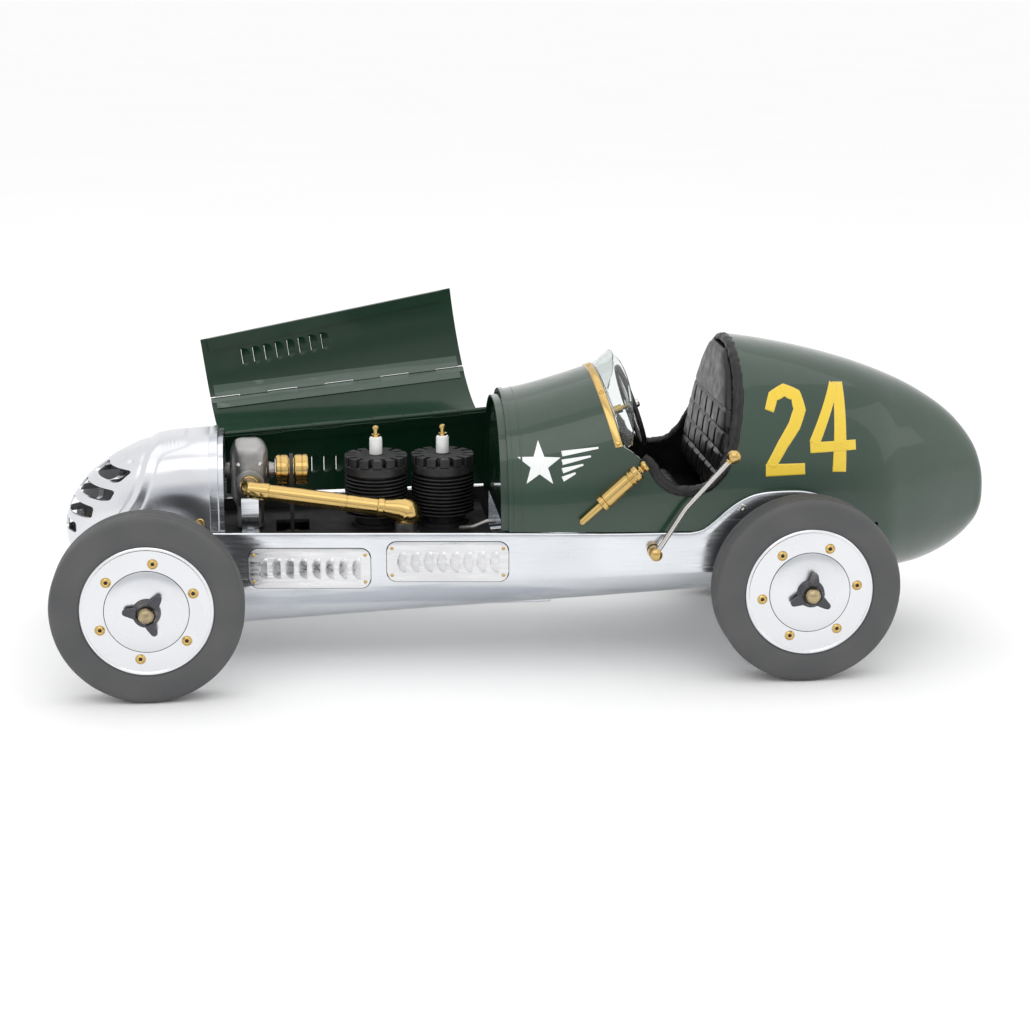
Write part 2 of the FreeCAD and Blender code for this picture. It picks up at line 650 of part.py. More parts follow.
def axle(label, x, block_foot, block_reach):
    """Fixed through axle held in two bearing blocks on the pan floor."""
    reach = S.track_face - S.disc_recess - S.disc_skin - 0.4
    shaft = cylinder(label + "_shaft", x, -reach, S.axle_height, S.axle_radius, reach * 2, "+Y")
    blocks = []
    for index, y in enumerate((-block_reach - 8.0, block_reach)):
        blocks.append(box("%s_block_%d" % (label, index), x - 7.0, y, block_foot, 14.0, 8.0,
                          S.axle_height - block_foot + 7.0))
    return node(label, fuse(label + "_axle", shaft, *blocks))


axle("axle_front", S.front_axle_x, 30.1, 4.0)
axle("axle_rear", S.rear_axle_x, 44.4, 20.0)

# ---------------------------------------------------------------------- engine
TRAY_WALL = 2.0
tray_form = hull([-187, -140, -80, -27], WALL + 2.0)
tray_form = tray_form.common(slab(-200, 0, S.engine_height.value - TRAY_WALL,
                                  S.engine_height.value))
tray_form = tray_form.cut(slab(-152.6, -133, 60, 90, -13, 13))
free_form("engine_tray", tray_form)

crank_box = box("crank_box", -126.0, -17.0, 42.0, 100.0, 34.0, S.engine_height - TRAY_WALL - 42.1)
crank_end = cylinder("crank_end", -132.0, 0.0, S.crank_height, 9.0, 8.0, "+X")
crank_stub = cylinder("crank_stub", -138.5, 0.0, S.crank_height, 3.0, 8.0, "+X")
crank_feet = box("crank_feet", -110.0, -30.0, 42.0, 68.0, 60.0, 4.0)
node("crankcase", fuse("crankcase_form", crank_box, crank_end, crank_stub, crank_feet))

FINS = 11
for label, x in (("front", S.cylinder_front_x), ("rear", S.cylinder_rear_x)):
    foot = S.engine_height + 0.05
    base = cylinder(label + "_foot", x, 0.0, foot, S.cylinder_base, 8.0)
    core = cylinder(label + "_core", x, 0.0, foot + 7.0, S.cylinder_radius - 2.4, 26.0)
    head = cylinder(label + "_head", x, 0.0, S.cylinder_top - 10.5, S.cylinder_radius, 9.0)
    crown = cylinder(label + "_crown", x, 0.0, S.cylinder_top - 2.0, S.cylinder_radius - 4.5, 2.0)
    pieces = [base, core, head, crown]
    for index in range(FINS):
        pieces.append(cylinder("%s_fin_%d" % (label, index), x, 0.0, foot + 7.2 + 2.3 * index,
                               S.cylinder_radius, 1.2))
    barrel = fuse(label + "_barrel", *pieces)
    node("cylinder_" + label, barrel)
    rod = cylinder(label + "_insulator", x, 0.0, S.cylinder_top, S.plug_radius, S.plug_height)
    tip = cylinder(label + "_tip", x, 0.0, S.cylinder_top + S.plug_height - 0.1, 1.6, 7.0)
    node("spark_plug_" + label, fuse(label + "_plug", rod, tip))

# Blower, its brass drum on the shaft, and the crank pulley below on one belt.
DRUM_GAP = 0.3
blower_case = box("blower_case", -178.6, -11.5, 90.0, 22.0, 23.0, 38.0)
blower_round = document.addObject("Part::Fillet", "blower_round")
blower_round.Base = blower_case
document.recompute()
blower_round.Edges = [(index + 1, 6.0, 6.0) for index, edge in enumerate(
    blower_case.Shape.Edges) if edge.CenterOfMass.z > 120]
nose_stub = cylinder("nose_stub", -182.0, 0.0, S.drum_height + 0.6, 4.7, 5.0, "+X")
neck = cylinder("blower_neck", -158.0, 0.0, S.drum_height, 4.4,
                S.drum_front_x + 158.0 - DRUM_GAP, "+X")
shaft = cylinder("blower_shaft", -158.0, 0.0, S.drum_height, 2.0,
                 S.drum_front_x + 158.0 + S.drum_length - 3.2, "+X")
pedestal = box("blower_pedestal", -174.0, -7.0, S.engine_height, 13.0, 14.0, 16.0)
node("blower", fuse("blower_form", blower_round, nose_stub, neck, shaft, pedestal))


def pulley(name, x, z, groove, flange, length, bore):
    """Drum with a square belt groove and a running bore."""
    half = S.belt_width / 2.0 + S.belt_gap
    front = cylinder(name + "_front", x, 0.0, z, flange, S.belt_x - half - x, "+X")
    core = cylinder(name + "_core", x, 0.0, z, groove, length, "+X")
    back = cylinder(name + "_back", S.belt_x + half, 0.0, z, flange,
                    x + length - S.belt_x - half, "+X")
    hole = cylinder(name + "_bore", x - 1.0, 0.0, z, bore, length - 1.5, "+X")
    return cut(name, fuse(name + "_solid", front, core, back), hole)


node("blower_drum", pulley("drum", S.drum_front_x, S.drum_height, S.drum_groove, S.drum_radius,
                           S.drum_length, S.running_gap + 2.0))
crank_pulley = pulley("crank_wheel", S.belt_x - 3.5, S.crank_height, S.crank_groove,
                      S.crank_groove + 1.8, Size.of(7.0), Size.of(0.5))
socket = cylinder("crank_socket", S.belt_x - 1.5, 0.0, S.crank_height,
                  S.running_gap + 3.0, 8.0, "+X")
node("crank_pulley", cut("crank_pulley_form", crank_pulley, socket))


def belt_outline(x, extra):
    """Face of the open belt loop around both grooves, grown by extra."""
    lower, upper = S.crank_groove.value + extra, S.drum_groove.value + extra
    low = Vector(x, 0, S.crank_height.value)
    high = Vector(x, 0, S.drum_height.value)
    lean = math.asin((lower - upper) / (high.z - low.z))
    side = Vector(0, math.cos(lean), math.sin(lean))
    mirror = Vector(0, -side.y, side.z)
    edges = [
        Part.makeLine(low + side * lower, high + side * upper),
        Part.Arc(high + side * upper, high + Z_AXIS * upper, high + mirror * upper).toShape(),
        Part.makeLine(high + mirror * upper, low + mirror * lower),
        Part.Arc(low + mirror * lower, low - Z_AXIS * lower, low + side * lower).toShape()]
    return Part.Face(Part.Wire(edges))


belt_start = S.belt_x.value - S.belt_width.value / 2
grow = S.belt_gap.value
belt_solid = belt_outline(belt_start, grow + S.belt_thickness.value).cut(
    belt_outline(belt_start, grow)).extrude(X_AXIS * S.belt_width.value)
free_form("drive_belt", belt_solid)


def tube(points, radius, bend):
    """Round tube along straight runs joined by arcs of one bend radius."""
    edges, start = [], points[0]
    for before, corner, after in zip(points, points[1:], points[2:]):
        inward, outward = (corner - before).normalize(), (after - corner).normalize()
        turn = inward.getAngle(outward)
        trim = bend * math.tan(turn / 2)
        first, last = corner - inward * trim, corner + outward * trim
        middle = (outward - inward).normalize()
        crown = corner + middle * (bend / math.cos(turn / 2) - bend)
        edges += [Part.makeLine(start, first), Part.Arc(first, crown, last).toShape()]
        start = last
    edges.append(Part.makeLine(start, points[-1]))
    path = Part.Wire(edges)
    ring = Part.Wire(Part.makeCircle(radius, points[0], points[1] - points[0]))
    return path.makePipeShell([ring], True, True)


# Brass intake pipe: blower side, elbow, long run and a drop into the carburettor.
PIPE_ROUTE = [Vector(-167.5, -11.6, 103.5), Vector(-167.5, -25, 103.5), Vector(-77.5, -30, 90),
              Vector(-77.5, -30, 83.4)]
pipe_form = tube(PIPE_ROUTE[:3], S.pipe_radius.value, 5.5)
elbow = Part.makeSphere(8.2, PIPE_ROUTE[2])
drop = Part.makeCylinder(6.0, 6.6, PIPE_ROUTE[3])
collar_way = (PIPE_ROUTE[2] - PIPE_ROUTE[1]).normalize()
collars = [Part.makeCylinder(4.5, 4.0, PIPE_ROUTE[1] + collar_way * 8, collar_way),
           Part.makeCylinder(4.7, 5.0, PIPE_ROUTE[2] - collar_way * 12, collar_way)]
pipe_form = pipe_form.fuse([elbow, drop] + collars).cut(slab(-90, -60, 0, PIPE_ROUTE[3].z + 0.05))
free_form("intake_pipe", pipe_form)
carb_body = cylinder("carb_body", -77.5, -30.0, S.engine_height, 6.4, 8.4)
carb_flange = cylinder("carb_flange", -77.5, -30.0, S.engine_height, 8.2, 2.0)
node("carburettor", fuse("carburettor_form", carb_body, carb_flange))
bracket_leg = box("bracket_leg", -172.5, -20.5, S.engine_height, 10.0, 1.6, 22.0)
bracket_foot = box("bracket_foot", -172.5, -29.0, S.engine_height, 10.0, 9.0, 1.6)
bracket_screw = cylinder("bracket_screw", -167.5, -25.0, S.engine_height + 1.5, 2.0, 1.4)
node("blower_bracket", fuse("bracket_form", bracket_leg, bracket_foot, bracket_screw))
FUEL_ROUTE = [Vector(-45, -26, 77.6), Vector(-38, -32, 79.5), Vector(-30, -33, 83),
              Vector(-25.2, -33, 83)]
free_form("fuel_line", tube(FUEL_ROUTE, 1.5, 5.0))

# --------------------------------------------------------------------- cockpit
screen_top, screen_foot = SCREEN_LINE
STRIP_WIDTH, STRIP_SKIN = 5.0, 0.7
strip_region = side_profile([(screen_top[0] - STRIP_WIDTH, screen_top[1] + 6),
                             (screen_top[0] - 1.62, screen_top[1] + 6),
                             screen_foot, (screen_foot[0] - STRIP_WIDTH, screen_foot[1])])
COWL_STATIONS = [20, 28, 36, 44, 52]
strip_ring = hull(COWL_STATIONS, -STRIP_SKIN).cut(body_outer)
free_form("windscreen_strip", strip_ring.common(strip_region))

SCREEN_RIM = [(0, 45.0, 177.2), (14, 48.6, 174.5), (26, 51.2, 168.2), (37, 52.6, 159.0),
              (46, 52.4, 149.8), (53, 51.6, 140.6), (57.5, 50.3, 132.6)]


def screen_base(y):
    """Where the glass leaves the cowl's edge at half width y."""
    low, high = screen_foot[1], screen_top[1]
    for _ in range(20):
        z = (low + high) / 2
        x = screen_top[0] + (screen_foot[0] - screen_top[0]) * (z - screen_top[1]) / (
            screen_foot[1] - screen_top[1])
        width, crest, waist, _, upper, _ = section(x)
        share = min(y / width, 1.0) ** upper
        surface = waist + (crest - waist) * (1 - share) ** (1 / upper)
        low, high = (z, high) if surface > z else (low, z)
    return Vector(x + 0.15, y, z)


glass_sections = []
for side in (-1, 1):
    spots = SCREEN_RIM if side > 0 else list(reversed(SCREEN_RIM[1:]))
    for y, x, z in spots:
        foot = screen_base(y)
        rim = Vector(x, y, z)
        inward = Vector(0.3, -y / 60.0, -1.0 + y / 75.0).normalize() * S.glass.value
        ring = [foot, rim, rim + inward, foot + inward, foot]
        glass_sections.append(Part.makePolygon([Vector(v.x, side * v.y, v.z) for v in ring]))
free_form("windscreen", Part.makeLoft(glass_sections, True, True))

dash_form = hull([37.0, 39.0], WALL + 0.5).common(slab(30, 50, 112, 150))
free_form("dashboard", dash_form)

COLUMN_LEAN = 19.0
wheel_centre = Vector(59.0, 0.0, 143.6)
column_way = Vector(math.cos(math.radians(COLUMN_LEAN)), 0, math.sin(math.radians(COLUMN_LEAN)))
column_turn = Rotation(Z_AXIS, column_way)
column_foot = wheel_centre - column_way * 19.8
column = cylinder("column_tube", column_foot.x, 0.0, column_foot.z, 2.6, 14.5, column_turn)
column_pin_foot = column_foot + column_way * 14.0
column_pin = cylinder("column_pin", column_pin_foot.x, 0.0, column_pin_foot.z, 1.4, 8.4,
                      column_turn)
node("steering_column", fuse("column_form", column, column_pin))


def on_column(item, shift, turn=Rotation()):
    spot = wheel_centre + column_way * shift
    return put(item, spot.x, 0.0, spot.z, column_turn.multiply(turn))


wheel_ring = document.addObject("Part::Torus", "wheel_ring")
bind(wheel_ring, Radius1=S.wheel_rim, Radius2=S.wheel_tube)
on_column(wheel_ring, 0.0)
wheel_boss = on_column(cylinder("wheel_boss", 0.0, 0.0, 0.0, 4.0, 9.0), -2.5)
spokes = []
for index in range(4):
    spoke = document.addObject("Part::Box", "wheel_spoke_%d" % index)
    bind(spoke, Length=S.wheel_rim, Width=2.4, Height=1.2)
    angle = 45.0 + 90.0 * index
    turn = Rotation(Z_AXIS, angle)
    offset = column_turn.multVec(turn.multVec(Vector(0, -1.2, -0.6)))
    spot = wheel_centre + offset
    spokes.append(put(spoke, spot.x, spot.y, spot.z, column_turn.multiply(turn)))
wheel_bore = on_column(cylinder("wheel_bore", 0.0, 0.0, 0.0, S.running_gap + 1.4, 7.0), -4.0)
wheel_solid = fuse("wheel_solid", wheel_ring, wheel_boss, *spokes)
node("steering_wheel", cut("steering_wheel_form", wheel_solid, wheel_bore))

tub_outer = hull([40, 58, 88, 112], WALL + 0.25)
tub_inner = hull([38, 58, 88, 114], WALL + 1.9)
tub_floor_z = 83.4
tub_form = tub_outer.cut(tub_inner).cut(slab(30, 130, 0, tub_floor_z)).cut(opening)
tub_floor = hull([42, 58, 88, 112], WALL + 1.0).common(slab(40, 130, tub_floor_z, 85.0))
free_form("cockpit_tub", tub_form.fuse(tub_floor).cut(slab(30, 43.5, 0, 200)))

COAMING_SKIN, COAMING_WIDTH = 1.4, 4.2
coaming_ring = hull(COWL_STATIONS[-1:] + [62, 74, 88, 104, 118, 126], -COAMING_SKIN).cut(
    hull([50, 62, 74, 88, 104, 118, 128], 2.6))
inner_line = [(x, z + COAMING_WIDTH) for x, z in OPENING_FLOOR[1:7]]
inner_line += [(x - COAMING_WIDTH * 0.8, z + COAMING_WIDTH * 0.5)
               for x, z in OPENING_FLOOR[7:9]]
inner_line += [(x - COAMING_WIDTH, z) for x, z in OPENING_FLOOR[9:-1]]
inner_line += [(OPENING_FLOOR[-1][0] - COAMING_WIDTH, 190)]
mouth = side_profile(inner_line + [(40, 190), (40, inner_line[0][1])])
coaming_form = coaming_ring.common(opening).cut(mouth).cut(slab(30, 56.5, 0, 200))
free_form("cockpit_coaming", largest(coaming_form))

SEAT_LINE = [(92.0, 100.0), (111.5, 181.0)]
SEAT_THICKNESS = 5.0
seat_slab = side_profile([SEAT_LINE[0], SEAT_LINE[1],
                          (SEAT_LINE[1][0] + SEAT_THICKNESS, SEAT_LINE[1][1] + 1),
                          (SEAT_LINE[0][0] + SEAT_THICKNESS + 4, SEAT_LINE[0][1])])
seat_space = hull([80, 92, 104, 116, 122], WALL + 2.1)
free_form("seat_back", seat_slab.common(seat_space))
cushion_top = hull([58, 70, 84, 91.5], WALL + 4.0).common(slab(50, 91.4, 85.1, 96.0, -44, 44))
free_form("seat_cushion", cushion_top)

# --------------------------------------------------------- hand pump and brake
pump_foot = Vector(33.1, -66.9, 101.0)
pump_way = Vector(0.748, 0.0, 0.665).normalize()
pump_turn = Rotation(Z_AXIS, pump_way)


def on_pump(name, shift, radius, length):
    spot = pump_foot + pump_way * shift
    return cylinder(name, spot.x, spot.y, spot.z, radius, length, pump_turn)


pump_parts = [
    on_pump("pump_nozzle", -17.5, S.pump_radius - 1.35, 18.0),
    on_pump("pump_barrel_tube", 0.0, S.pump_radius, S.pump_length),
    on_pump("pump_low_collar", -1.2, S.pump_radius + 0.7, 3.0),
    on_pump("pump_high_collar", S.pump_length.value - 2.0, S.pump_radius + 0.7, 3.0)]
pump_bore = on_pump("pump_bore", 4.0, S.running_gap + 1.5, 30.0)
node("pump_barrel", cut("pump_form", fuse("pump_solid", *pump_parts), pump_bore))
PLUNGER_OUT = S.pump_length.value + 1.3
plunger_parts = [
    on_pump("plunger_rod", 18.0, Size.of(1.5), 14.0),
    on_pump("plunger_collar", PLUNGER_OUT, Size.of(2.6), 1.6),
    on_pump("plunger_knob", PLUNGER_OUT + 2.2, Size.of(3.5), 3.6)]
node("pump_plunger", fuse("plunger_form", *plunger_parts))

rail_face = -(S.pivot_x.value * 0.1125 + 60.65)
pivot_stem = cylinder("pivot_stem", S.pivot_x, rail_face, S.pivot_z, 3.6, 4.4, "-Y")
pivot_pin = cylinder("pivot_pin", S.pivot_x, rail_face - 4.0, S.pivot_z, 1.2, 5.2, "-Y")
pivot_head = cylinder("pivot_head", S.pivot_x, rail_face - 8.0, S.pivot_z, 3.4, 2.4, "-Y")
node("lever_pivot", fuse("pivot_form", pivot_stem, pivot_pin, pivot_head))
LEVER_Y = rail_face - 6.2
LEVER_BEND = Vector(79.6, LEVER_Y, 98.4)
LEVER_TIP = Vector(106.8, LEVER_Y, 128.2)
lever_route = [Vector(S.pivot_x.value, LEVER_Y, S.pivot_z.value), LEVER_BEND, LEVER_TIP]
lever_rod = tube(lever_route, S.lever_radius.value, 18.0)
lever_eye = Part.makeCylinder(2.9, 3.0, Vector(S.pivot_x.value, LEVER_Y + 1.5, S.pivot_z.value),
                              -Y_AXIS)
lever_bore = Part.makeCylinder(1.2 + S.running_gap.value, 12, Vector(
    S.pivot_x.value, LEVER_Y + 6, S.pivot_z.value), -Y_AXIS)
knob_space = Part.makeSphere(4.0, LEVER_TIP)
free_form("brake_lever", lever_rod.fuse(lever_eye).cut(lever_bore).cut(knob_space))
node("brake_knob", sphere("knob_ball", LEVER_TIP.x, LEVER_TIP.y, LEVER_TIP.z, 4.0))

# ------------------------------------------------------- louvred plates on rails
PLATE_STATIONS = {"front": (-134.0, 61.6), "rear": (-55.0, 65.6)}
PLATE_LOUVRES, PLATE_PITCH, PLATE_LOUVRE_HEIGHT = 8, 7.6, 13.5
RAIL_PLAN = math.atan(0.1)


def louvre_plate(label, x, z, side):
    """Rounded plate with pressed louvres, flat against the rail's outer face."""
    length, height, skin = S.louvre_plate_length, S.louvre_plate_height, S.louvre_plate_skin
    turn = Rotation(Z_AXIS, math.degrees(RAIL_PLAN) * side)
    if side < 0:
        face = -Y_AXIS
    else:
        face = Y_AXIS
    outward = turn.multVec(face)
    lengthwise = turn.multVec(X_AXIS)
    middle = Vector(x, side * (58.6 + (x + 20) * 0.1), z)
    corner = middle - lengthwise * (length.value / 2) - Z_AXIS * (height.value / 2)
    if side < 0:
        corner = corner + outward * skin.value
    plate = document.addObject("Part::Box", label + "_sheet")
    bind(plate, Length=length, Width=skin, Height=height)
    put(plate, corner.x, corner.y, corner.z, turn)
    items = [plate]
    for index in range(PLATE_LOUVRES):
        louvre = document.addObject("Part::Cylinder", "%s_louvre_%d" % (label, index))
        bind(louvre, Radius=2.0, Height=PLATE_LOUVRE_HEIGHT, Angle=180.0)
        shift = (index - (PLATE_LOUVRES - 1) / 2) * PLATE_PITCH
        spot = middle + lengthwise * shift + outward * (skin.value - 0.1)
        spot = spot - Z_AXIS * (PLATE_LOUVRE_HEIGHT / 2)
        spin = turn.multiply(Rotation(Z_AXIS, 180 if side < 0 else 0))
        items.append(put(louvre, spot.x, spot.y, spot.z, spin))
    return node(label, fuse(label + "_form", *items))


for end, (plate_x, plate_z) in PLATE_STATIONS.items():
    louvre_plate("louvre_plate_near_" + end, plate_x, plate_z, -1)
    louvre_plate("louvre_plate_far_" + end, plate_x, plate_z, 1)

# ---------------------------------------------------------- checks and export
for item in nodes.values():
    counted = dict(item.ExpressionEngine).get("Placement.Base.y", repr(item.Placement.Base.y))
    item.setExpression("Placement.Base.y", counted + " - Sizes.box_middle")
document.recompute()
for item in document.Objects:
    if {"Invalid", "Error"} & set(item.State):
        raise RuntimeError("object %s failed: %s" % (item.Name, item.State))
os.makedirs("parts", exist_ok=True)
for label, item in nodes.items():
    if item.Shape.isNull() or not item.Shape.isValid():
        raise RuntimeError("sub-part %s has no valid shape" % label)
    item.Shape.exportStep("parts/%s.step" % label)
print("sub-parts written:", len(nodes))
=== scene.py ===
"""Looks of the tether racer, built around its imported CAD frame.

Lengths are millimetres unless a name says otherwise: +X to the tail, +Z up, and the near
side, which faces the camera, at -Y.
"""
import math

import bmesh
import bpy
from mathutils import Matrix, Vector, noise


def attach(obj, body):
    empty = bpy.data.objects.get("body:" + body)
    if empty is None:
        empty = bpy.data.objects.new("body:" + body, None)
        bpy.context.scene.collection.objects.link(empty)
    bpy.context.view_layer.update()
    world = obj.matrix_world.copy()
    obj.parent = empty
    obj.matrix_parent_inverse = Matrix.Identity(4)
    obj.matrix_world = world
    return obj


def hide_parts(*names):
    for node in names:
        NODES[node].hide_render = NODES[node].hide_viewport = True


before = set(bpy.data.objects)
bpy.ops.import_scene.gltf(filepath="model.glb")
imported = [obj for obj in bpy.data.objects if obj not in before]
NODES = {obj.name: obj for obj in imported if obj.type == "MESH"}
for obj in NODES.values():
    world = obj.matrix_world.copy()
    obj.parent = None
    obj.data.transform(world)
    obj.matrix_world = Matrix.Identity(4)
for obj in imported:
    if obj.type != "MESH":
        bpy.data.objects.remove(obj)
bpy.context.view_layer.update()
MM = 0.001
# The shapes below are worked out from the wheels' middle plane. The open bonnet reaches past
# the far wheels, so that plane lies this far to the near side of the frame's origin.
TO_BOX_MIDDLE = Vector((0, -13.9, 0))


# ------------------------------------------------------------------ materials
class Look:
    """A procedural material on one Principled shader."""

    def __init__(self, name, color, rough, metallic=0.0, **sockets):
        self.material = bpy.data.materials.new(name)
        self.material.use_nodes = True
        self.tree = self.material.node_tree
        self.shader = self.tree.nodes["Principled BSDF"]
        self.set("Base Color", (*color, 1.0))
        self.set("Roughness", rough)
        self.set("Metallic", metallic)
        for socket, value in sockets.items():
            self.set(socket.replace("_", " "), value)
        self.height = None

    def set(self, socket, value):
        self.shader.inputs[socket].default_value = value

    def add(self, kind, **values):
        node = self.tree.nodes.new("ShaderNode" + kind)
        for key, value in values.items():
            if key in node.inputs:
                node.inputs[key].default_value = value
            else:
                setattr(node, key, value)
        return node

    def link(self, source, target):
        self.tree.links.new(source, target)

    def coordinates(self, scale=(1, 1, 1)):
        """Object coordinates in metres, stretched by scale."""
        place = self.add("TexCoord")
        stretch = self.add("Mapping")
        stretch.inputs["Scale"].default_value = scale
        self.link(place.outputs["Object"], stretch.inputs["Vector"])
        return stretch.outputs["Vector"]

    def noise(self, scale, detail, stretch=(1, 1, 1)):
        texture = self.add("TexNoise", Scale=scale, Detail=detail, Roughness=0.5)
        self.link(self.coordinates(stretch), texture.inputs["Vector"])
        return texture.outputs["Fac"]

    def cells(self, scale):
        texture = self.add("TexVoronoi", Scale=scale, feature="F1")
        self.link(self.coordinates(), texture.inputs["Vector"])
        return texture.outputs["Distance"]

    def spread(self, source, low, high, first, last):
        """Map source from low..high to first..last."""
        ramp = self.add("MapRange")
        for key, value in zip(("From Min", "From Max", "To Min", "To Max"),
                              (low, high, first, last)):
            ramp.inputs[key].default_value = value
        self.link(source, ramp.inputs["Value"])
        return ramp.outputs["Result"]

    def rough_from(self, source, first, last):
        """Roughness from first to last over the middle of source."""
        self.link(self.spread(source, 0.3, 0.7, first, last), self.shader.inputs["Roughness"])

    def tint(self, source, other, low, high, share=1.0):
        """Blend the base colour towards another one where source is high."""
        socket = self.shader.inputs["Base Color"]
        mix = self.add("Mix", data_type="RGBA")
        self.link(self.spread(source, low, high, 0.0, share), mix.inputs["Factor"])
        if socket.is_linked:
            self.link(socket.links[0].from_socket, mix.inputs["A"])
        else:
            mix.inputs["A"].default_value = socket.default_value
        mix.inputs["B"].default_value = (*other, 1.0)
        self.link(mix.outputs["Result"], socket)

    def bump(self, source, strength, depth_mm):
        bump = self.add("Bump", Strength=strength, Distance=depth_mm * MM)
        self.link(source, bump.inputs["Height"])
        if self.height is not None:
            self.link(self.height.outputs["Normal"], bump.inputs["Normal"])
        self.link(bump.outputs["Normal"], self.shader.inputs["Normal"])
        self.height = bump


LOOKS = {}


def surface(key, name, color, rough, metallic=0.0, tint=None, grain=None, bumps=(), **sockets):
    """Look whose tint, roughness and bumps each follow a noise of (scale, detail, stretch).

    tint is (noise, other colour, low, high, share), grain is (noise, first and last roughness)
    and each bump is (noise, strength, depth in millimetres).
    """
    look = LOOKS[key] = Look(name, color, rough, metallic, **sockets)
    if tint:
        look.tint(look.noise(*tint[0]), *tint[1:])
    if grain:
        look.rough_from(look.noise(*grain[0]), *grain[1:])
    for noise_like, strength, depth in bumps:
        look.bump(look.noise(*noise_like), strength, depth)
    return look


def polished(key, name, color, rough, wobble, streak):
    """Bare metal with soft waves, and wiping marks stretched by streak."""
    return surface(key, name, color, rough, 1.0,
                   tint=((22.0, 3.0), tuple(c * 0.86 for c in color), 0.4, 0.75, 0.7),
                   grain=((9.0, 4.0, streak), rough * 0.6, rough * 1.9),
                   bumps=[((16.0, 2.0), wobble, 0.8), ((60.0, 5.0, streak), 0.06, 0.03)])


aluminium = polished("aluminium", "polished_aluminium", (0.74, 0.76, 0.79), 0.15, 0.5, (3, 60, 90))
# Broad slate streaks along the polished rails: a painted reflection of the room in their colour.
aluminium.tint(aluminium.noise(5.0, 3.0, (1, 4, 9)), (0.36, 0.39, 0.46), 0.57, 0.64, 0.55)
polished("nose", "nose_casting", (0.75, 0.76, 0.79), 0.20, 0.12, (3, 3, 3))
polished("plate", "plate_aluminium", (0.80, 0.80, 0.81), 0.28, 0.2, (3, 60, 90))
polished("brass", "polished_brass", (0.62, 0.43, 0.16), 0.15, 0.3, (20, 20, 20))
polished("chrome", "bright_steel", (0.66, 0.64, 0.61), 0.15, 0.2, (30, 30, 30))
surface("disc", "disc_aluminium", (0.76, 0.77, 0.79), 0.30, 1.0,
        grain=((30.0, 3.0, (1, 6, 1)), 0.17, 0.32), bumps=[((24.0, 2.0), 0.25, 0.5)])
surface("paint", "racing_green", (0.004, 0.032, 0.014), 0.30,
        tint=((14.0, 4.0), (0.006, 0.040, 0.018), 0.4, 0.7), grain=((120.0, 3.0), 0.26, 0.38),
        bumps=[((11.0, 2.0), 0.25, 0.6), ((900.0, 2.0), 0.05, 0.02)],
        Coat_Weight=0.9, Coat_Roughness=0.05, Specular_IOR_Level=0.4)
surface("bonnet", "bonnet_green", (0.005, 0.030, 0.014), 0.34,
        tint=((14.0, 4.0), (0.007, 0.036, 0.018), 0.4, 0.7), grain=((120.0, 3.0), 0.28, 0.40),
        bumps=[((900.0, 2.0), 0.05, 0.02)],
        Coat_Weight=0.25, Coat_Roughness=0.12, Specular_IOR_Level=0.3)
surface("worn", "worn_green_leaf", (0.020, 0.060, 0.035), 0.30,
        tint=((35.0, 6.0, (1, 3, 3)), (0.25, 0.28, 0.26), 0.60, 0.78, 0.75),
        grain=((60.0, 4.0), 0.22, 0.45), bumps=[((150.0, 3.0), 0.15, 0.05)], Coat_Weight=0.8)
leather = surface("leather", "black_leather", (0.006, 0.0055, 0.0055), 0.34,
                  tint=((70.0, 4.0), (0.014, 0.013, 0.012), 0.45, 0.75),
                  grain=((160.0, 3.0), 0.26, 0.44), Specular_IOR_Level=0.4)
leather.bump(leather.cells(1100.0), 0.30, 0.10)
leather.bump(leather.noise(140.0, 5.0), 0.35, 0.35)
surface("rubber", "tyre_rubber", (0.075, 0.076, 0.078), 0.62,
        tint=((45.0, 5.0), (0.095, 0.095, 0.096), 0.4, 0.7), grain=((90.0, 4.0), 0.50, 0.72),
        bumps=[((700.0, 3.0), 0.12, 0.05)])
surface("black", "black_enamel", (0.013, 0.013, 0.014), 0.45,
        tint=((120.0, 4.0), (0.035, 0.033, 0.033), 0.5, 0.75), grain=((200.0, 3.0), 0.36, 0.58),
        bumps=[((600.0, 3.0), 0.2, 0.08)])
surface("dark", "engine_bay_black", (0.010, 0.010, 0.010), 0.42,
        tint=((40.0, 5.0), (0.05, 0.045, 0.04), 0.55, 0.8, 0.8), grain=((50.0, 4.0), 0.3, 0.6),
        bumps=[((120.0, 4.0), 0.3, 0.2)])
surface("gilt", "worn_bronze", (0.46, 0.37, 0.22), 0.28, 1.0,
        tint=((150.0, 5.0), (0.20, 0.16, 0.12), 0.5, 0.75, 0.8),
        grain=((180.0, 4.0), 0.2, 0.42), bumps=[((260.0, 4.0), 0.2, 0.1)])
surface("bronze", "dark_bronze", (0.085, 0.085, 0.095), 0.32, 0.9,
        tint=((130.0, 5.0), (0.24, 0.22, 0.20), 0.55, 0.8), grain=((180.0, 4.0), 0.26, 0.5),
        bumps=[((260.0, 4.0), 0.3, 0.12)])
surface("cast", "cast_metal", (0.36, 0.355, 0.35), 0.36, 0.95,
        tint=((60.0, 5.0), (0.16, 0.155, 0.15), 0.5, 0.8), grain=((90.0, 4.0), 0.24, 0.5),
        bumps=[((300.0, 4.0), 0.35, 0.15)])
surface("ceramic", "white_ceramic", (0.86, 0.86, 0.84), 0.18,
        tint=((160.0, 3.0), (0.78, 0.77, 0.74), 0.5, 0.8),
        bumps=[((300.0, 2.0), 0.05, 0.05)], Coat_Weight=0.6)
surface("glass", "clear_glass", (0.80, 0.84, 0.83), 0.03,
        bumps=[((20.0, 2.0), 0.01, 0.05)], Transmission_Weight=1.0, IOR=1.45)
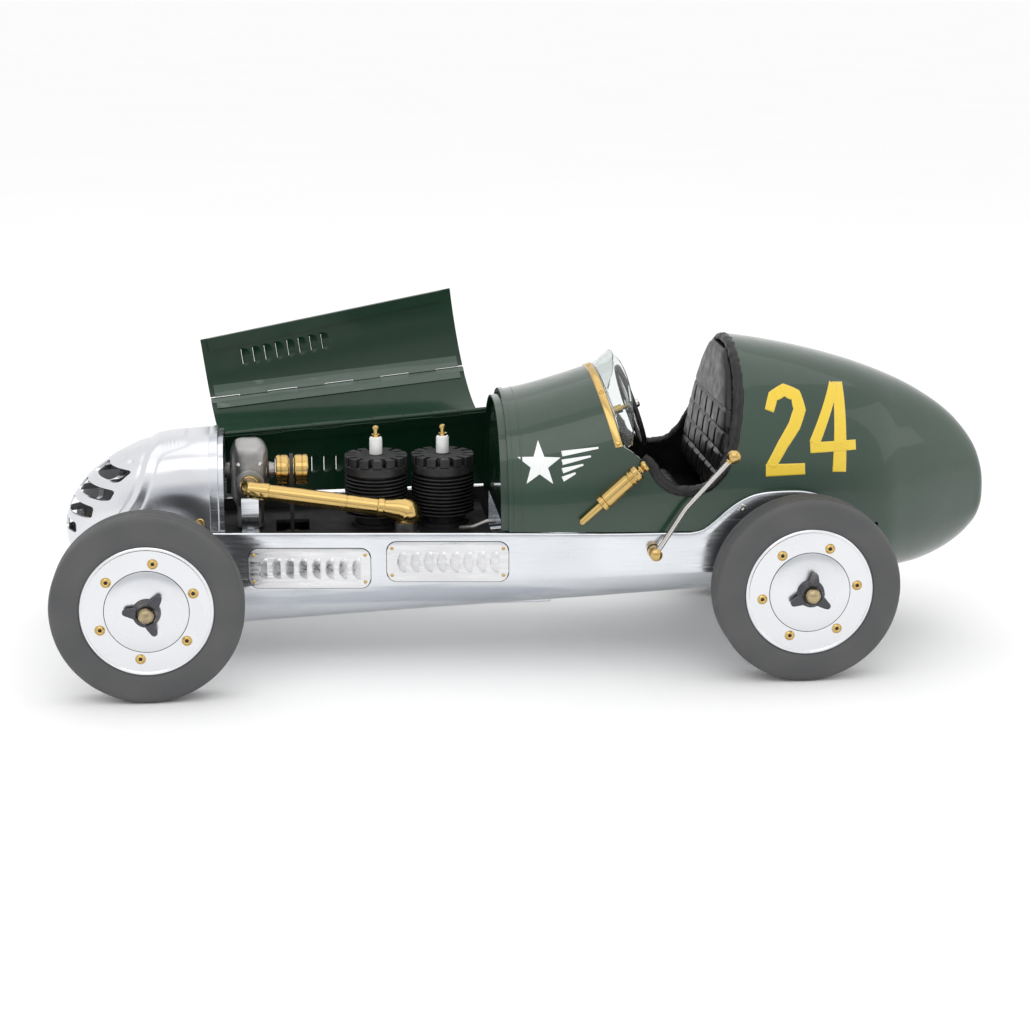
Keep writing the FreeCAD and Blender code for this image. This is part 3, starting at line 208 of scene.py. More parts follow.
for key, color in (("yellow", (0.80, 0.56, 0.02)), ("white", (0.84, 0.86, 0.85))):
    surface(key, key + "_decal", color, 0.28, grain=((100.0, 3.0), 0.24, 0.36),
            bumps=[((11.0, 2.0), 0.2, 0.5)], Coat_Weight=0.8)


# ------------------------------------------------------------- mesh functions
def make(name, points, faces, look, body="chassis", crease=35.0, matrix=None):
    """Piece that rides on a body, from points in millimetres; edges over crease stay sharp."""
    mesh = bpy.data.meshes.new(name)
    if matrix is not None:
        points = [matrix @ Vector(p) for p in points]
    mesh.from_pydata([(Vector(p) + TO_BOX_MIDDLE) * MM for p in points], [], faces)
    fix = bmesh.new()
    fix.from_mesh(mesh)
    bmesh.ops.remove_doubles(fix, verts=fix.verts, dist=1e-7)
    bmesh.ops.recalc_face_normals(fix, faces=fix.faces)
    fix.to_mesh(mesh)
    fix.free()
    mesh.materials.append(LOOKS[look].material)
    mesh.shade_smooth()
    mesh.set_sharp_from_angle(angle=math.radians(crease))
    piece = bpy.data.objects.new(name, mesh)
    bpy.context.scene.collection.objects.link(piece)
    if body:
        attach(piece, body)
    return piece


def grid_faces(rows, columns, wrap=False, offset=0):
    """Quads of a grid of rows x columns points; wrap joins the last column to the first."""
    faces = []
    for row in range(rows - 1):
        for column in range(columns if wrap else columns - 1):
            after = (column + 1) % columns
            a, b = offset + row * columns, offset + (row + 1) * columns
            faces.append((a + column, a + after, b + after, b + column))
    return faces


def lathe(profile, count=96):
    """Points and faces of a (radius, y) profile turned about Y."""
    points = []
    for radius, axial in profile:
        for step in range(count):
            angle = 2 * math.pi * step / count
            points.append((radius * math.cos(angle), axial, radius * math.sin(angle)))
    return points, grid_faces(len(profile), count, True)


def frame_along(way, up=Vector((0, 0, 1))):
    """Rotation matrix whose -Y axis looks along way."""
    back = -Vector(way).normalized()
    side = back.cross(up)
    if side.length < 1e-4:
        side = back.cross(Vector((1, 0, 0)))
    side.normalize()
    top = side.cross(back).normalized()
    return Matrix((side, back, top)).transposed().to_4x4()


def turned(name, profile, look, body, foot, way, count=96, crease=35.0):
    """Lathe piece of a (radius, height) profile standing at foot along way."""
    points, faces = lathe([(r, -a) for r, a in profile], count)
    matrix = Matrix.Translation(Vector(foot)) @ frame_along(way)
    return make(name, points, faces, look, body, crease, matrix)


def smooth_line(points, per_span=10):
    """Catmull-Rom curve through points."""
    spots = [Vector(p) for p in points]
    spots = [spots[0] * 2 - spots[1]] + spots + [spots[-1] * 2 - spots[-2]]
    line = []
    for index in range(1, len(spots) - 2):
        p0, p1, p2, p3 = spots[index - 1:index + 3]
        for step in range(per_span):
            t = step / per_span
            line.append(0.5 * ((2 * p1) + (p2 - p0) * t + (2 * p0 - 5 * p1 + 4 * p2 - p3) * t * t
                               + (3 * p1 - p0 - 3 * p2 + p3) * t ** 3))
    line.append(spots[-2])
    return line


def sweep(line, outline, turn=None):
    """Outline of (side, up) points carried along a line, with both ends closed.

    outline may be a function of the share of the line run, and turn one that gives up.
    """
    points, count = [], len(line)
    up = None
    for index, spot in enumerate(line):
        before, after = line[max(index - 1, 0)], line[min(index + 1, count - 1)]
        way = (after - before).normalized()
        if turn is not None:
            up = turn(spot)
        elif up is None:
            up = way.orthogonal().normalized()
        up = (up - way * up.dot(way)).normalized()
        side = way.cross(up)
        shape = outline(index / (count - 1)) if callable(outline) else outline
        points += [spot + side * a + up * b for a, b in shape]
    return points, grid_faces(count, len(points) // count, True) + end_faces(points, count)


def end_faces(points, count):
    """Faces that close the first and the last of count equal rings."""
    width = len(points) // count
    return [tuple(range(width))[::-1], tuple(range(len(points) - width, len(points)))]


def loop_faces(rows, count):
    """Faces of a closed loop of rows, each an open line of count points, with both ends."""
    faces = []
    for row in range(rows):
        a, b = row * count, (row + 1) % rows * count
        faces += [(a + i, a + i + 1, b + i + 1, b + i) for i in range(count - 1)]
    starts = [row * count for row in range(rows)]
    return faces + [tuple(starts[::-1]), tuple(start + count - 1 for start in starts)]


def ring(radius, count=24):
    return [(radius * math.cos(2 * math.pi * i / count),
             radius * math.sin(2 * math.pi * i / count)) for i in range(count)]


def block(low, high):
    (x0, y0, z0), (x1, y1, z1) = low, high
    points = [(x, y, z) for x in (x0, x1) for y in (y0, y1) for z in (z0, z1)]
    faces = [(0, 1, 3, 2), (4, 6, 7, 5), (0, 4, 5, 1), (2, 3, 7, 6), (0, 2, 6, 4), (1, 5, 7, 3)]
    return points, faces


def prism(outline, low, high, axis=1):
    """Solid from a closed outline of two coordinates, pushed along an axis."""
    count = len(outline)
    points = []
    for level in (low, high):
        for a, b in outline:
            spot = [a, b]
            spot.insert(axis, level)
            points.append(tuple(spot))
    faces = [tuple(range(count)), tuple(range(count, 2 * count))[::-1]]
    faces += [(i, (i + 1) % count, count + (i + 1) % count, count + i) for i in range(count)]
    return points, faces


def carve(piece, shapes, operation="DIFFERENCE"):
    """Boolean with closed shapes given as (points, faces)."""
    for index, (points, faces) in enumerate(shapes):
        tool = make("tool_%d" % index, points, faces, "dark", None)
        change = piece.modifiers.new("carve", "BOOLEAN")
        change.operation = operation
        change.solver = "EXACT"
        change.object = tool
        bpy.context.view_layer.update()
        graph = bpy.context.evaluated_depsgraph_get()
        mesh = bpy.data.meshes.new_from_object(piece.evaluated_get(graph))
        piece.modifiers.remove(change)
        old = piece.data
        piece.data = mesh
        bpy.data.meshes.remove(old)
        bpy.data.objects.remove(tool)
    return piece


def shade(piece, crease=35.0):
    piece.data.shade_smooth()
    piece.data.set_sharp_from_angle(angle=math.radians(crease))
    return piece


def round_edges(piece, width, segments=2, angle=35.0):
    bevel = piece.modifiers.new("round", "BEVEL")
    bevel.width = width * MM
    bevel.segments = segments
    bevel.limit_method = "ANGLE"
    bevel.angle_limit = math.radians(angle)
    bevel.harden_normals = True
    return piece


def keep(look, *names):
    """CAD nodes that stay, with their look."""
    for name in names:
        NODES[name].data.materials.clear()
        NODES[name].data.materials.append(LOOKS[look].material)


# ------------------------------------------------------------------- hull form
# Half width, crest, waist, keel and the section's powers along the car, as in the CAD.
HALF_WIDTH = [(-190, 40), (-20, 57), (32, 62.5), (83, 65.2), (120, 65.8), (150, 64.5),
              (176, 60.8), (203, 53.8), (218, 45), (236, 33.5), (256, 20), (270, 10.5),
              (275.5, 6.6), (277.3, 3.6), (278, 1.0)]
CREST = [(-190, 133.2), (-20, 153.7), (-6, 156), (16, 162), (34, 167.7), (60, 176.2),
         (90, 182.6), (115, 185.2), (124, 184.5), (149, 180.1), (173, 174.4),
         (198, 166.7), (224, 155.8), (243, 144.6), (256, 134.3), (266, 123), (272, 113.6),
         (275.5, 104.5), (277.3, 97), (278, 90)]
WAIST = [(-190, 82.4), (110, 82.4), (150, 80), (200, 76.6), (250, 77), (272, 79), (278, 86)]
KEEL = [(-190, 19.5), (-94, 26), (-15, 31.3), (100, 38.4), (200, 42.3), (229, 43.6),
        (248, 49), (263, 57.7), (272, 66.5), (275.5, 72.5), (277.3, 78), (278, 83)]
UPPER_POWER = [(-190, 3.33), (-20, 2.25), (60, 2.2), (278, 2.1)]
LOWER_POWER = [(-190, 3.5), (150, 3.2), (200, 2.2), (278, 2.0)]
NOSE_REAR, NOSE_LENGTH, NOSE_WAIST_DROP = -190.0, 85.0, 4.4
WALL = 1.8
RAIL_TOP, RAIL_FRONT = 82.4, -205.0
FRONT_X, REAR_X = -184.0, -20.2
AXLES = {"front": -224.4, "rear": 147.8}
AXLE_Z = 53.6


def along(curve, x):
    """Smooth value of a curve of points at x, level beyond its ends."""
    if x <= curve[0][0]:
        return curve[0][1]
    if x >= curve[-1][0]:
        return curve[-1][1]
    index = max(i for i, spot in enumerate(curve) if spot[0] <= x)

    def slope(i):
        low, high = max(i - 1, 0), min(i + 1, len(curve) - 1)
        return (curve[high][1] - curve[low][1]) / (curve[high][0] - curve[low][0])

    (x0, v0), (x1, v1) = curve[index], curve[index + 1]
    span = x1 - x0
    t = (x - x0) / span
    return (v0 * (1 + 2 * t) * (1 - t) ** 2 + v1 * t * t * (3 - 2 * t)
            + span * (slope(index) * t * (1 - t) ** 2 + slope(index + 1) * t * t * (t - 1)))


def section(x):
    upper, lower = along(UPPER_POWER, x), along(LOWER_POWER, x)
    width, crest = along(HALF_WIDTH, x), along(CREST, x)
    waist, keel = along(WAIST, x), along(KEEL, x)
    if x < NOSE_REAR:
        part = min((NOSE_REAR - x) / NOSE_LENGTH, 1.0)
        swell = math.sqrt(max(1.0 - part * part, 0.0))
        waist, low = waist - NOSE_WAIST_DROP * (1.0 - swell), waist - keel
        crest = waist + (crest - along(WAIST, x)) * swell
        keel = waist - low * swell
        width = width * swell
        upper = 2.1 + (upper - 2.1) * swell ** 2
        lower = 2.1 + (lower - 2.1) * swell ** 2
    return width, crest, waist, keel, upper, lower


def hull_point(x, angle, inset=0.0):
    """Point of the section at x; angle runs from +Y over the top to -Y and round below."""
    width, crest, waist, keel, upper, lower = section(x)
    c, s = math.cos(angle), math.sin(angle)
    power = upper if s >= 0 else lower
    rise = (crest - waist if s >= 0 else waist - keel) - inset
    y = math.copysign(abs(c) ** (2 / power), c) * max(width - inset, 0.0)
    return Vector((x, y, waist + math.copysign(max(rise, 0.0) * abs(s) ** (2 / power), s)))


def even_arc(x, first, last, count, inset=0.0):
    """Points from angle first to last on the section, evenly spaced along it."""
    fine = [hull_point(x, first + (last - first) * i / 300, inset) for i in range(301)]
    runs = [0.0]
    for before, after in zip(fine, fine[1:]):
        runs.append(runs[-1] + (after - before).length)
    spots, at = [], 0
    for step in range(count):
        want = runs[-1] * step / (count - 1)
        while at < 299 and runs[at + 1] < want:
            at += 1
        span = runs[at + 1] - runs[at]
        spots.append(fine[at].lerp(fine[at + 1], (want - runs[at]) / span if span else 0.0))
    return spots


def hull_ring(x, inset, top, low):
    return (even_arc(x, 0.0, math.pi, top, inset)[:-1]
            + even_arc(x, math.pi, 2 * math.pi, low, inset)[:-1])


def hull_shell(stations, inner, inset, top=64, low=40, shift=None):
    """Closed skin with its inside, open in section at the first station; the far end is capped."""
    points, faces = [], []
    for rings, depth, flip in ((stations, 0.0, False), (inner, inset, True)):
        offset = len(points)
        for x in rings:
            for spot in hull_ring(x, depth, top, low):
                points.append(shift(spot) if shift else spot)
        count = top + low - 2
        part = grid_faces(len(rings), count, True, offset)
        last = offset + (len(rings) - 1) * count
        ends = points[last:last + count]
        middle = sum(ends, Vector()) / count
        points.append(middle + Vector((0.25 if stations[-1] > 0 else -0.25, 0, 0)) * (not flip))
        part += [(last + i, last + (i + 1) % count, len(points) - 1) for i in range(count)]
        faces += [tuple(reversed(face)) for face in part] if flip else part
        if flip:
            faces += [(i, (i + 1) % count, offset + (i + 1) % count, offset + i)
                      for i in range(count)]
    return points, faces


def seam_height(x):
    return 47.3 + 0.0425 * (x + 171.4)


def surface_y(x, z):
    """Half width of the hull's skin at x and height z."""
    width, crest, waist, keel, upper, lower = section(x)
    if z >= waist:
        share, power = (z - waist) / (crest - waist), upper
    else:
        share, power = (waist - z) / (waist - keel), lower
    return width * max(1.0 - share ** power, 0.0) ** (1 / power)


def steps(first, last, count):
    return [first + (last - first) * i / (count - 1) for i in range(count)]


# ------------------------------------------------------------------ body shell
OPENING = [(46.3, 131.0), (52, 127.5), (60, 120.5), (66, 111.5), (74, 105.8), (84, 104.3),
           (94, 107.0), (102, 114.0), (108.5, 126.0), (113, 142), (116, 160), (117.3, 190)]
SCREEN_LINE = [(36.3, 168.0), (46.3, 131.0)]
opening_line = smooth_line([(x, 0, z) for x, z in OPENING], 6)
mouth = [(p.x, p.z) for p in opening_line] + [(32, 190), (36.3, 168.0)]
tail_rings = steps(-19.5, 240, 76) + steps(243, 269, 12) + [
    270.4, 271.7, 272.9, 274.0, 275.0, 275.8, 276.5, 277.0, 277.4, 277.7, 277.9]
shell = hull_shell(tail_rings, steps(-19.5, 268, 60), WALL)
body = make("body_paintwork", *shell, "paint")
carve(body, [block((-60, -120, 0), (197.8, 120, RAIL_TOP + 0.3)), prism(mouth, -120, 120)])
shade(body, 28)
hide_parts("body_shell")


def on_cowl(name, x0, x1, proud, thick, look, low=RAIL_TOP + 0.4, count=70):
    """Band round the top of the body between two stations, standing proud of its skin."""
    points = []
    for x, depth in ((x0, thick), (x0, -proud), (x1, -proud), (x1, thick)):
        for spot in even_arc(x, 0.0, math.pi, count, depth):
            points.append(Vector((spot.x, spot.y, max(spot.z, low))))
    return round_edges(make(name, points, loop_faces(4, count), look), 0.25)


lip = on_cowl("cowl_front_lip", -19.9, -17.4, 0.7, 1.6, "paint")
seam = on_cowl("cowl_fold", -12.6, -11.4, 0.22, 0.3, "paint")

# ------------------------------------------------------------------------ nose
RIDGE = [(-205, 0, 133.4), (-215.4, 0, 130.5), (-219.2, 0, 128.7), (-222.4, 0, 125.0),
         (-224.0, 0, 121.3), (-225.8, 0, 115.2), (-228.2, 0, 108.6), (-231.3, 0, 101.2),
         (-235.5, 0, 94.7), (-240.0, 0, 88.0)]
ridge_line = smooth_line(RIDGE, 5)
DIMPLES = [(-239.0, -13.8, 121.9), (-234.6, -21.2, 121.2), (-231.6, -10.6, 125.7)]


def nose_relief(spot):
    """Push the skin out along the pressed ridge and in at the shallow dimples."""
    outward = (spot - Vector((-200, 0, 84))).normalized()
    gap = math.sqrt(min(((spot.x - p.x) ** 2 + (spot.z - p.z) ** 2) for p in ridge_line))
    move = 1.1 * math.exp(-(gap / 1.7) ** 2) - 0.3 * math.exp(-((gap - 3.6) / 1.1) ** 2)
    for x, y, z in DIMPLES:
        for side in (-1, 1):
            gap = (spot - Vector((x, side * -y, z))).length_squared
            move -= 0.9 * math.exp(-gap / 3.0)
    return spot + outward * move


ANGLES = steps(0, 9, 6) + steps(9.5, 40, 84) + steps(41, 58, 14) + steps(59.5, 88.5, 24)
nose_rings = [NOSE_REAR - NOSE_LENGTH * math.sin(math.radians(a)) for a in ANGLES]
nose_inner = [x for x in nose_rings if x > -273.5]
nose_skin = hull_shell(nose_rings, nose_inner, WALL, 260, 60, nose_relief)
nose = make("nose_casting", *nose_skin, "nose")
# Each row: half width, low and top of the slot at the middle rib, and at the cheek.
GRILLE = [((3.2, 112.0, 118.6), (27.4, 109.4, 116.6)), ((3.2, 101.6, 108.6), (28.2, 98.8, 105.4)),
          ((3.0, 89.8, 98.2), (23.6, 87.8, 94.8)), ((2.6, 78.6, 86.2), (16.0, 77.6, 83.8))]


def rounded(corners, radius, count=6):
    """Outline of straight sides between arcs at the corners, which run the same way round."""
    outline = []
    spots = [Vector((a, b, 0)) for a, b in corners]
    for index, spot in enumerate(spots):
        back = (spots[index - 1] - spot).normalized()
        ahead = (spots[(index + 1) % len(spots)] - spot).normalized()
        half = back.angle(ahead) / 2
        centre = spot + (back + ahead).normalized() * (radius / math.sin(half))
        first = spot + back * (radius / math.tan(half)) - centre
        last = spot + ahead * (radius / math.tan(half)) - centre
        for step in range(count + 1):
            arm = first.lerp(last, step / count).normalized() * radius
            outline.append((centre.x + arm.x, centre.y + arm.y))
    return outline


cutters = []
for (inner_y, inner_low, inner_top), (outer_y, outer_low, outer_top) in GRILLE:
    for side in (-1, 1):
        slot_corners = [(side * inner_y, inner_low), (side * outer_y, outer_low),
                        (side * outer_y, outer_top), (side * inner_y, inner_top)]
        cutters.append(prism(rounded(slot_corners, 1.9), -300, -226, 0))
seam_z = seam_height(RAIL_FRONT)
carve(nose, [block((-300, -120, 0), (-180, 120, seam_z + 0.15)),
             block((RAIL_FRONT - 0.2, -120, 0), (-180, 120, RAIL_TOP + 0.2)),
             block((AXLES["front"] - 6.5, -120, 0), (AXLES["front"] + 6.5, 120, AXLE_Z + 5.5))]
      + cutters)
shade(nose, 30)
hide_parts("nose_shell")
rim = on_cowl("nose_rear_band", -190.0, -185.2, 0.25, 1.5, "aluminium", RAIL_TOP + 0.3)
keep("aluminium", "nose_flange")


# ------------------------------------------------------------------ belly pan
def pan_angles(x):
    """Angles of the section just under the seam, on both sides."""
    level = seam_height(x) if x > RAIL_FRONT else seam_z
    low, high = math.pi, 1.5 * math.pi
    for _ in range(40):
        middle = (low + high) / 2
        low, high = (middle, high) if hull_point(x, middle).z > level else (low, middle)
    return low, 3 * math.pi - low


pan_points, pan_count = [], 60
pan_rings = steps(-258.6, -190, 34) + steps(-187, 197.5, 80)
for depth in (0.0, WALL):
    for x in pan_rings:
        first, last = pan_angles(x)
        pan_points += even_arc(x, first, last, pan_count, min(depth, (x + 259) * 0.6))
pan_rows = len(pan_rings)
inside = pan_rows * pan_count
pan_faces = grid_faces(pan_rows, pan_count) + grid_faces(pan_rows, pan_count, False, inside)
for row in range(pan_rows - 1):
    for column in (0, pan_count - 1):
        a = row * pan_count + column
        pan_faces.append((a, a + pan_count, inside + a + pan_count, inside + a))
for column in range(pan_count - 1):
    for row in (0, pan_rows - 1):
        a = row * pan_count + column
        pan_faces.append((a, a + 1, inside + a + 1, inside + a))
pan = make("belly_pan", pan_points, pan_faces, "aluminium", crease=30)
pad_z = along(KEEL, -50) - 1.0
PAD = block((-50, -18, pad_z), (10, 18, pad_z + 5.8))
pad = make("stand_pad", *PAD, "aluminium")
round_edges(pad, 1.0, 3)
hole_points, hole_faces = lathe([(2.1, -1.0), (2.1, 7.0)], 32)
carve(pad, [(
    [Matrix.Rotation(math.radians(90), 4, "X") @ Vector(p) + Vector((-20, 0, pad_z))
     for p in hole_points],
    hole_faces + [tuple(range(32)), tuple(range(32, 64))[::-1]])])
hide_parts("pan_belly")

# ----------------------------------------------------------------------- rails
RAIL_HALF_WIDTH = [(-205, 40.2), (-190, 41.6), (-20, 58.6), (32, 64.3), (83, 67.3),
                   (110, 68.2), (150, 67.4), (176, 64.4), (197, 59.4)]
ARCH_TOP = [(84, 82.4), (91, 84.0), (98, 89.2), (105, 95.5), (113, 101), (121, 104.3),
            (131, 105.7), (148, 105.6), (158, 103.5), (167, 100.3), (180, 93.6), (190, 86.5),
            (197, 79.5)]
EDGE_RADIUS = 0.8


def rail_outline(x):
    outer = along(RAIL_HALF_WIDTH, x) if x > -20 else 58.6 + (x + 20) * 0.1
    inner = outer - 2.0
    top = along(ARCH_TOP, x) if x > 84 else RAIL_TOP
    low = seam_height(x) + 0.1
    rows = steps(low + 0.5, top - EDGE_RADIUS, 7)
    curve = [(outer - 0.25, low)] + [(outer, z) for z in rows]
    for degrees in (30, 60, 90, 120, 150):
        angle = math.radians(degrees)
        curve.append((outer - 1.0 + math.cos(angle), top - EDGE_RADIUS
                      + EDGE_RADIUS * math.sin(angle)))
    return curve + [(inner, z) for z in reversed(rows)] + [(inner + 0.25, low)]


for label, side in (("near", -1), ("far", 1)):
    stations = steps(-205, 84, 60) + steps(86, 197, 56)
    points = [(x, side * y, z) for x in stations for y, z in rail_outline(x)]
    width = len(rail_outline(0))
    faces = grid_faces(len(stations), width, True)
    faces += [tuple(range(width)), tuple(range(len(points) - width, len(points)))[::-1]]
    rail = make("side_rail_" + label, points, faces, "aluminium", crease=40)
    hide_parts("rail_" + label)

# The bay's walls are black inside.
for label, side in (("near", -1), ("far", 1)):
    wall = [(x, side * y) for x, y in ((-184.0, 39.9), (-20.5, 56.2),
                                       (-20.5, 55.4), (-184.0, 39.1))]
    liner = make("bay_wall_" + label, *prism(wall, 60.0, RAIL_TOP - 0.4, 2), "dark")

# ---------------------------------------------------------------------- bonnet
SKIN, PROUD = 1.0, 0.4
HINGE_Y = (34.0, 43.0)
PANEL_GAP, PANEL_FOOT = (0.050, 0.028), 0.008
LIP_ENDS = (FRONT_X + 4.0, REAR_X - 6.0)
SWING = 173.5


def at_hinge(x, y):
    width, _, _, _, upper, _ = section(x)
    return math.acos((y / (width + PROUD)) ** (upper / 2))


hinge_at = [at_hinge(x, y) for x, y in zip((FRONT_X, REAR_X), HINGE_Y)]
near_at = [math.pi - angle for angle in hinge_at]
hinge_start = hull_point(FRONT_X, hinge_at[0], -PROUD)
hinge_end = hull_point(REAR_X, hinge_at[1], -PROUD)
swing = (Matrix.Translation(hinge_start)
         @ Matrix.Rotation(math.radians(-SWING), 4, hinge_end - hinge_start)
         @ Matrix.Translation(-hinge_start))
MIRROR = Matrix.Diagonal((1, -1, 1, 1))
LOUVRE_XS = [-160.0 + 7.4 * index for index in range(8)]
LOUVRE_Z, LOUVRE_TALL, LOUVRE_SLIT, LOUVRE_LONG = 96.0, 11.0, 0.35, 5.0


def beside(angles, offsets, way):
    return [angle + way * offset for angle, offset in zip(angles, offsets)]


def thicken(outer, inner, faces):
    """Closed sheet from two matching surfaces."""
    count = len(outer)
    edges = {}
    for face in faces:
        for a, b in zip(face, face[1:] + face[:1]):
            key = (min(a, b), max(a, b))
            edges[key] = edges.get(key, 0) + 1
    rim = [(a, b, count + b, count + a) for (a, b), used in edges.items() if used == 1]
    back = [tuple(count + i for i in reversed(face)) for face in faces]
    return list(outer) + list(inner), list(faces) + back + rim


def panel(first, last, xs, rows, outer, inner, relief=None, hole=None):
    """Ruled sheet of the bonnet between two (front, rear) pairs of section angles."""
    surfaces = []
    for depth in (outer, inner):
        lines = [even_arc(x, a, b, rows, depth)
                 for x, a, b in zip((FRONT_X, REAR_X), first, last)]
        spots = []
        for x in xs:
            t = (x - FRONT_X) / (REAR_X - FRONT_X)
            for front, rear in zip(*lines):
                spot = front.lerp(rear, t)
                if relief:
                    spot = spot + Vector((0, 1, 0.35)) * relief(spot)
                spots.append(spot)
        surfaces.append(spots)
    faces = grid_faces(len(xs), rows)
    if hole:
        faces = [f for f in faces if not hole(sum((surfaces[0][i] for i in f), Vector()) / 4)]
    return thicken(surfaces[0], surfaces[1], faces)


def louvre_relief(spot):
    v = (spot.z - LOUVRE_Z) / LOUVRE_TALL
    if not 0 < v < 1:
        return 0.0
    for x in LOUVRE_XS:
        u = (spot.x - x - LOUVRE_SLIT + 0.01) / LOUVRE_LONG
        if 0 <= u < 1:
            bow = (2 * v - 1) / math.sqrt(1 - u * u)
            return 1.7 * (1 - u) ** 0.8 * math.sqrt(1 - bow * bow) if abs(bow) < 1 else 0.0
    return 0.0


def louvre_hole(spot):
    return (LOUVRE_Z + 0.8 < spot.z < LOUVRE_Z + LOUVRE_TALL - 0.8
            and any(x < spot.x < x + LOUVRE_SLIT for x in LOUVRE_XS))


side_xs = steps(FRONT_X, -161, 24)
for x in LOUVRE_XS:
    side_xs += [x, x + LOUVRE_SLIT] + [x + LOUVRE_SLIT + d for d in (0.8, 1.6, 2.5, 3.5, 4.5, 5.2)]
side_xs += steps(side_xs[-1] + 1.2, REAR_X, 60)
side_first, side_last = [PANEL_FOOT] * 2, beside(hinge_at, PANEL_GAP, -1)
side_sheet = panel(side_first, side_last, side_xs, 100, 0.0, SKIN, louvre_relief, louvre_hole)
edge_sheet = panel([PANEL_FOOT] * 2, [PANEL_FOOT + 0.075] * 2, steps(*LIP_ENDS, 30), 6,
                   0.6, 2.2)
top_sheet = panel(beside(hinge_at, PANEL_GAP, 1), beside(near_at, PANEL_GAP, -1),
                  steps(FRONT_X, REAR_X, 40), 60, 0.0, SKIN)
thrown = swing @ MIRROR
far_side = make("hood_far_side", *side_sheet, "bonnet", "chassis", 40)
top = make("hood_top", *top_sheet, "bonnet", "bonnet_top", 40, swing)
near_side = make("hood_near_side", *side_sheet, "bonnet", "bonnet_side", 40, thrown)
near_edge = make("hood_near_edge", *edge_sheet, "bonnet", "bonnet_side", 40, thrown)
for piece, node in ((far_side, "hood_side_far"), (top, "hood_top_panel"),
                    (near_side, "hood_side_near")):
    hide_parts(node)
keep("bonnet", "hinge_far_fixed", "hinge_far_moving")
keep("worn", "hinge_near_top", "hinge_near_side")

# -------------------------------------------------------------- louvred plates
PLATES = {"front": (-134.0, 61.6), "rear": (-55.0, 65.6)}
PLATE_LONG, PLATE_TALL, PLATE_CORNER = 70.0, 23.6, 5.8
PLATE_PITCH, PLATE_LEAD = 7.6, 2.4


def plate_relief(u, w):
    """Height of the pressed louvres over the plate at u along and w up from its middle."""
    height = 0.0
    for index in range(8):
        t = (u - (index - 3.5) * PLATE_PITCH + PLATE_LEAD) / 4.9
        reach = 6.2 * math.sqrt(max(1 - (1 - t) ** 2, 0.0))
        if 0 < t <= 1 and abs(w) < reach:
            height = 2.3 * t ** 0.8 * math.sqrt(1 - (w / reach) ** 2)
    border = min(PLATE_LONG / 2 - abs(u), PLATE_TALL / 2 - abs(w))
    return height + 0.3 * min(max(border - 0.2, 0) / 1.2, 1.0)


plate_us = sorted(set([round(v, 3) for v in steps(-35, 35, 61)]
                      + [round((i - 3.5) * PLATE_PITCH - PLATE_LEAD + d, 3) for i in range(8)
                         for d in (0.0, 0.3, 0.9, 1.8, 2.8, 3.8, 4.6, 4.89, 4.96)]))
for end, (plate_x, plate_z) in PLATES.items():
    for label, side in (("near", -1), ("far", 1)):
        lengthwise = Vector((1, side * 0.1, 0)).normalized()
        outward = Vector((-0.1, side, 0)).normalized()
        middle = Vector((plate_x, side * (58.6 + (plate_x + 20) * 0.1), plate_z))
        outer, inner = [], []
        for u in plate_us:
            over = max(abs(u) - PLATE_LONG / 2 + PLATE_CORNER, 0.0)
            tall = PLATE_TALL / 2 - PLATE_CORNER + math.sqrt(
                max(PLATE_CORNER ** 2 - over ** 2, 0.01))
            for w in steps(-tall, tall, 61):
                spot = middle + lengthwise * u + Vector((0, 0, w))
                outer.append(spot + outward * (0.45 + plate_relief(u, w)))
                inner.append(spot + outward * 0.02)
        sheet = thicken(outer, inner, grid_faces(len(plate_us), 61))
        plate = make("louvre_sheet_%s_%s" % (label, end), *sheet, "plate", crease=30)
        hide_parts("louvre_plate_%s_%s" % (label, end))
        # A dark sheet a little larger than the plate, just behind it, paints the shadow line round
        # its edge.
        long, tall = PLATE_LONG / 2 + 0.35, PLATE_TALL / 2 + 0.35
        edge = rounded([(-long, -tall), (long, -tall), (long, tall), (-long, tall)], PLATE_CORNER)
        levels, faces = prism(edge, 0.0, 1.0)
        shadow_sheet_points = [middle + lengthwise * a + outward * (0.16 * h - 0.3 * (1 - h))
                      + Vector((0, 0, c)) for a, h, c in levels]
        shadow = make("plate_gap_painted_shadow_%s_%s" % (label, end), shadow_sheet_points, faces, "dark")
        for index, (u, w) in enumerate(((-32, -8), (-32, 8), (32, -8), (32, 8))):
            foot = middle + lengthwise * u + Vector((0, 0, w)) + outward * 0.6
            rivet = turned("rivet_%s_%s_%d" % (label, end, index),
                           [(0, 0.75), (0.5, 0.7), (0.9, 0.45), (1.15, 0.0), (1.15, -0.3)],
                           "brass", "chassis", foot, outward, 20)

# ---------------------------------------------------------------------- wheels
TYRE = [(36.7, 2.6), (36.9, 1.5), (37.6, 0.8), (39.0, 0.5), (39.6, 0.05), (40.4, -0.05),
        (45.0, 0.0), (49.6, 0.05), (51.6, 0.5), (52.8, 1.6), (53.3, 3.0)]
GROOVES = (5.2, 8.6, 12.0, 14.4, 17.8)
tyre_profile = list(TYRE)
for at in GROOVES:
    tyre_profile += [(53.6, at - 0.45), (53.2, at - 0.3), (53.2, at + 0.3), (53.6, at + 0.45)]
tyre_profile += [(r, 23.0 - a) for r, a in reversed(TYRE)]
DISC = [(0.0, -0.9), (6.0, -0.8), (12.0, -0.4), (18.0, 0.1), (22.8, 0.75), (23.1, 0.85),
        (23.15, 2.6), (23.45, 2.6), (23.5, 1.0), (24.2, 0.95), (30.0, 1.05), (34.8, 1.1),
        (35.4, 0.7), (36.3, 0.6), (36.8, 1.0), (36.9, 1.8), (36.9, 21.6), (34.0, 21.8),
        (34.0, 3.9), (9.0, 3.9), (9.0, 21.6), (4.4, 21.6), (4.4, 3.9), (0.0, 3.9)]
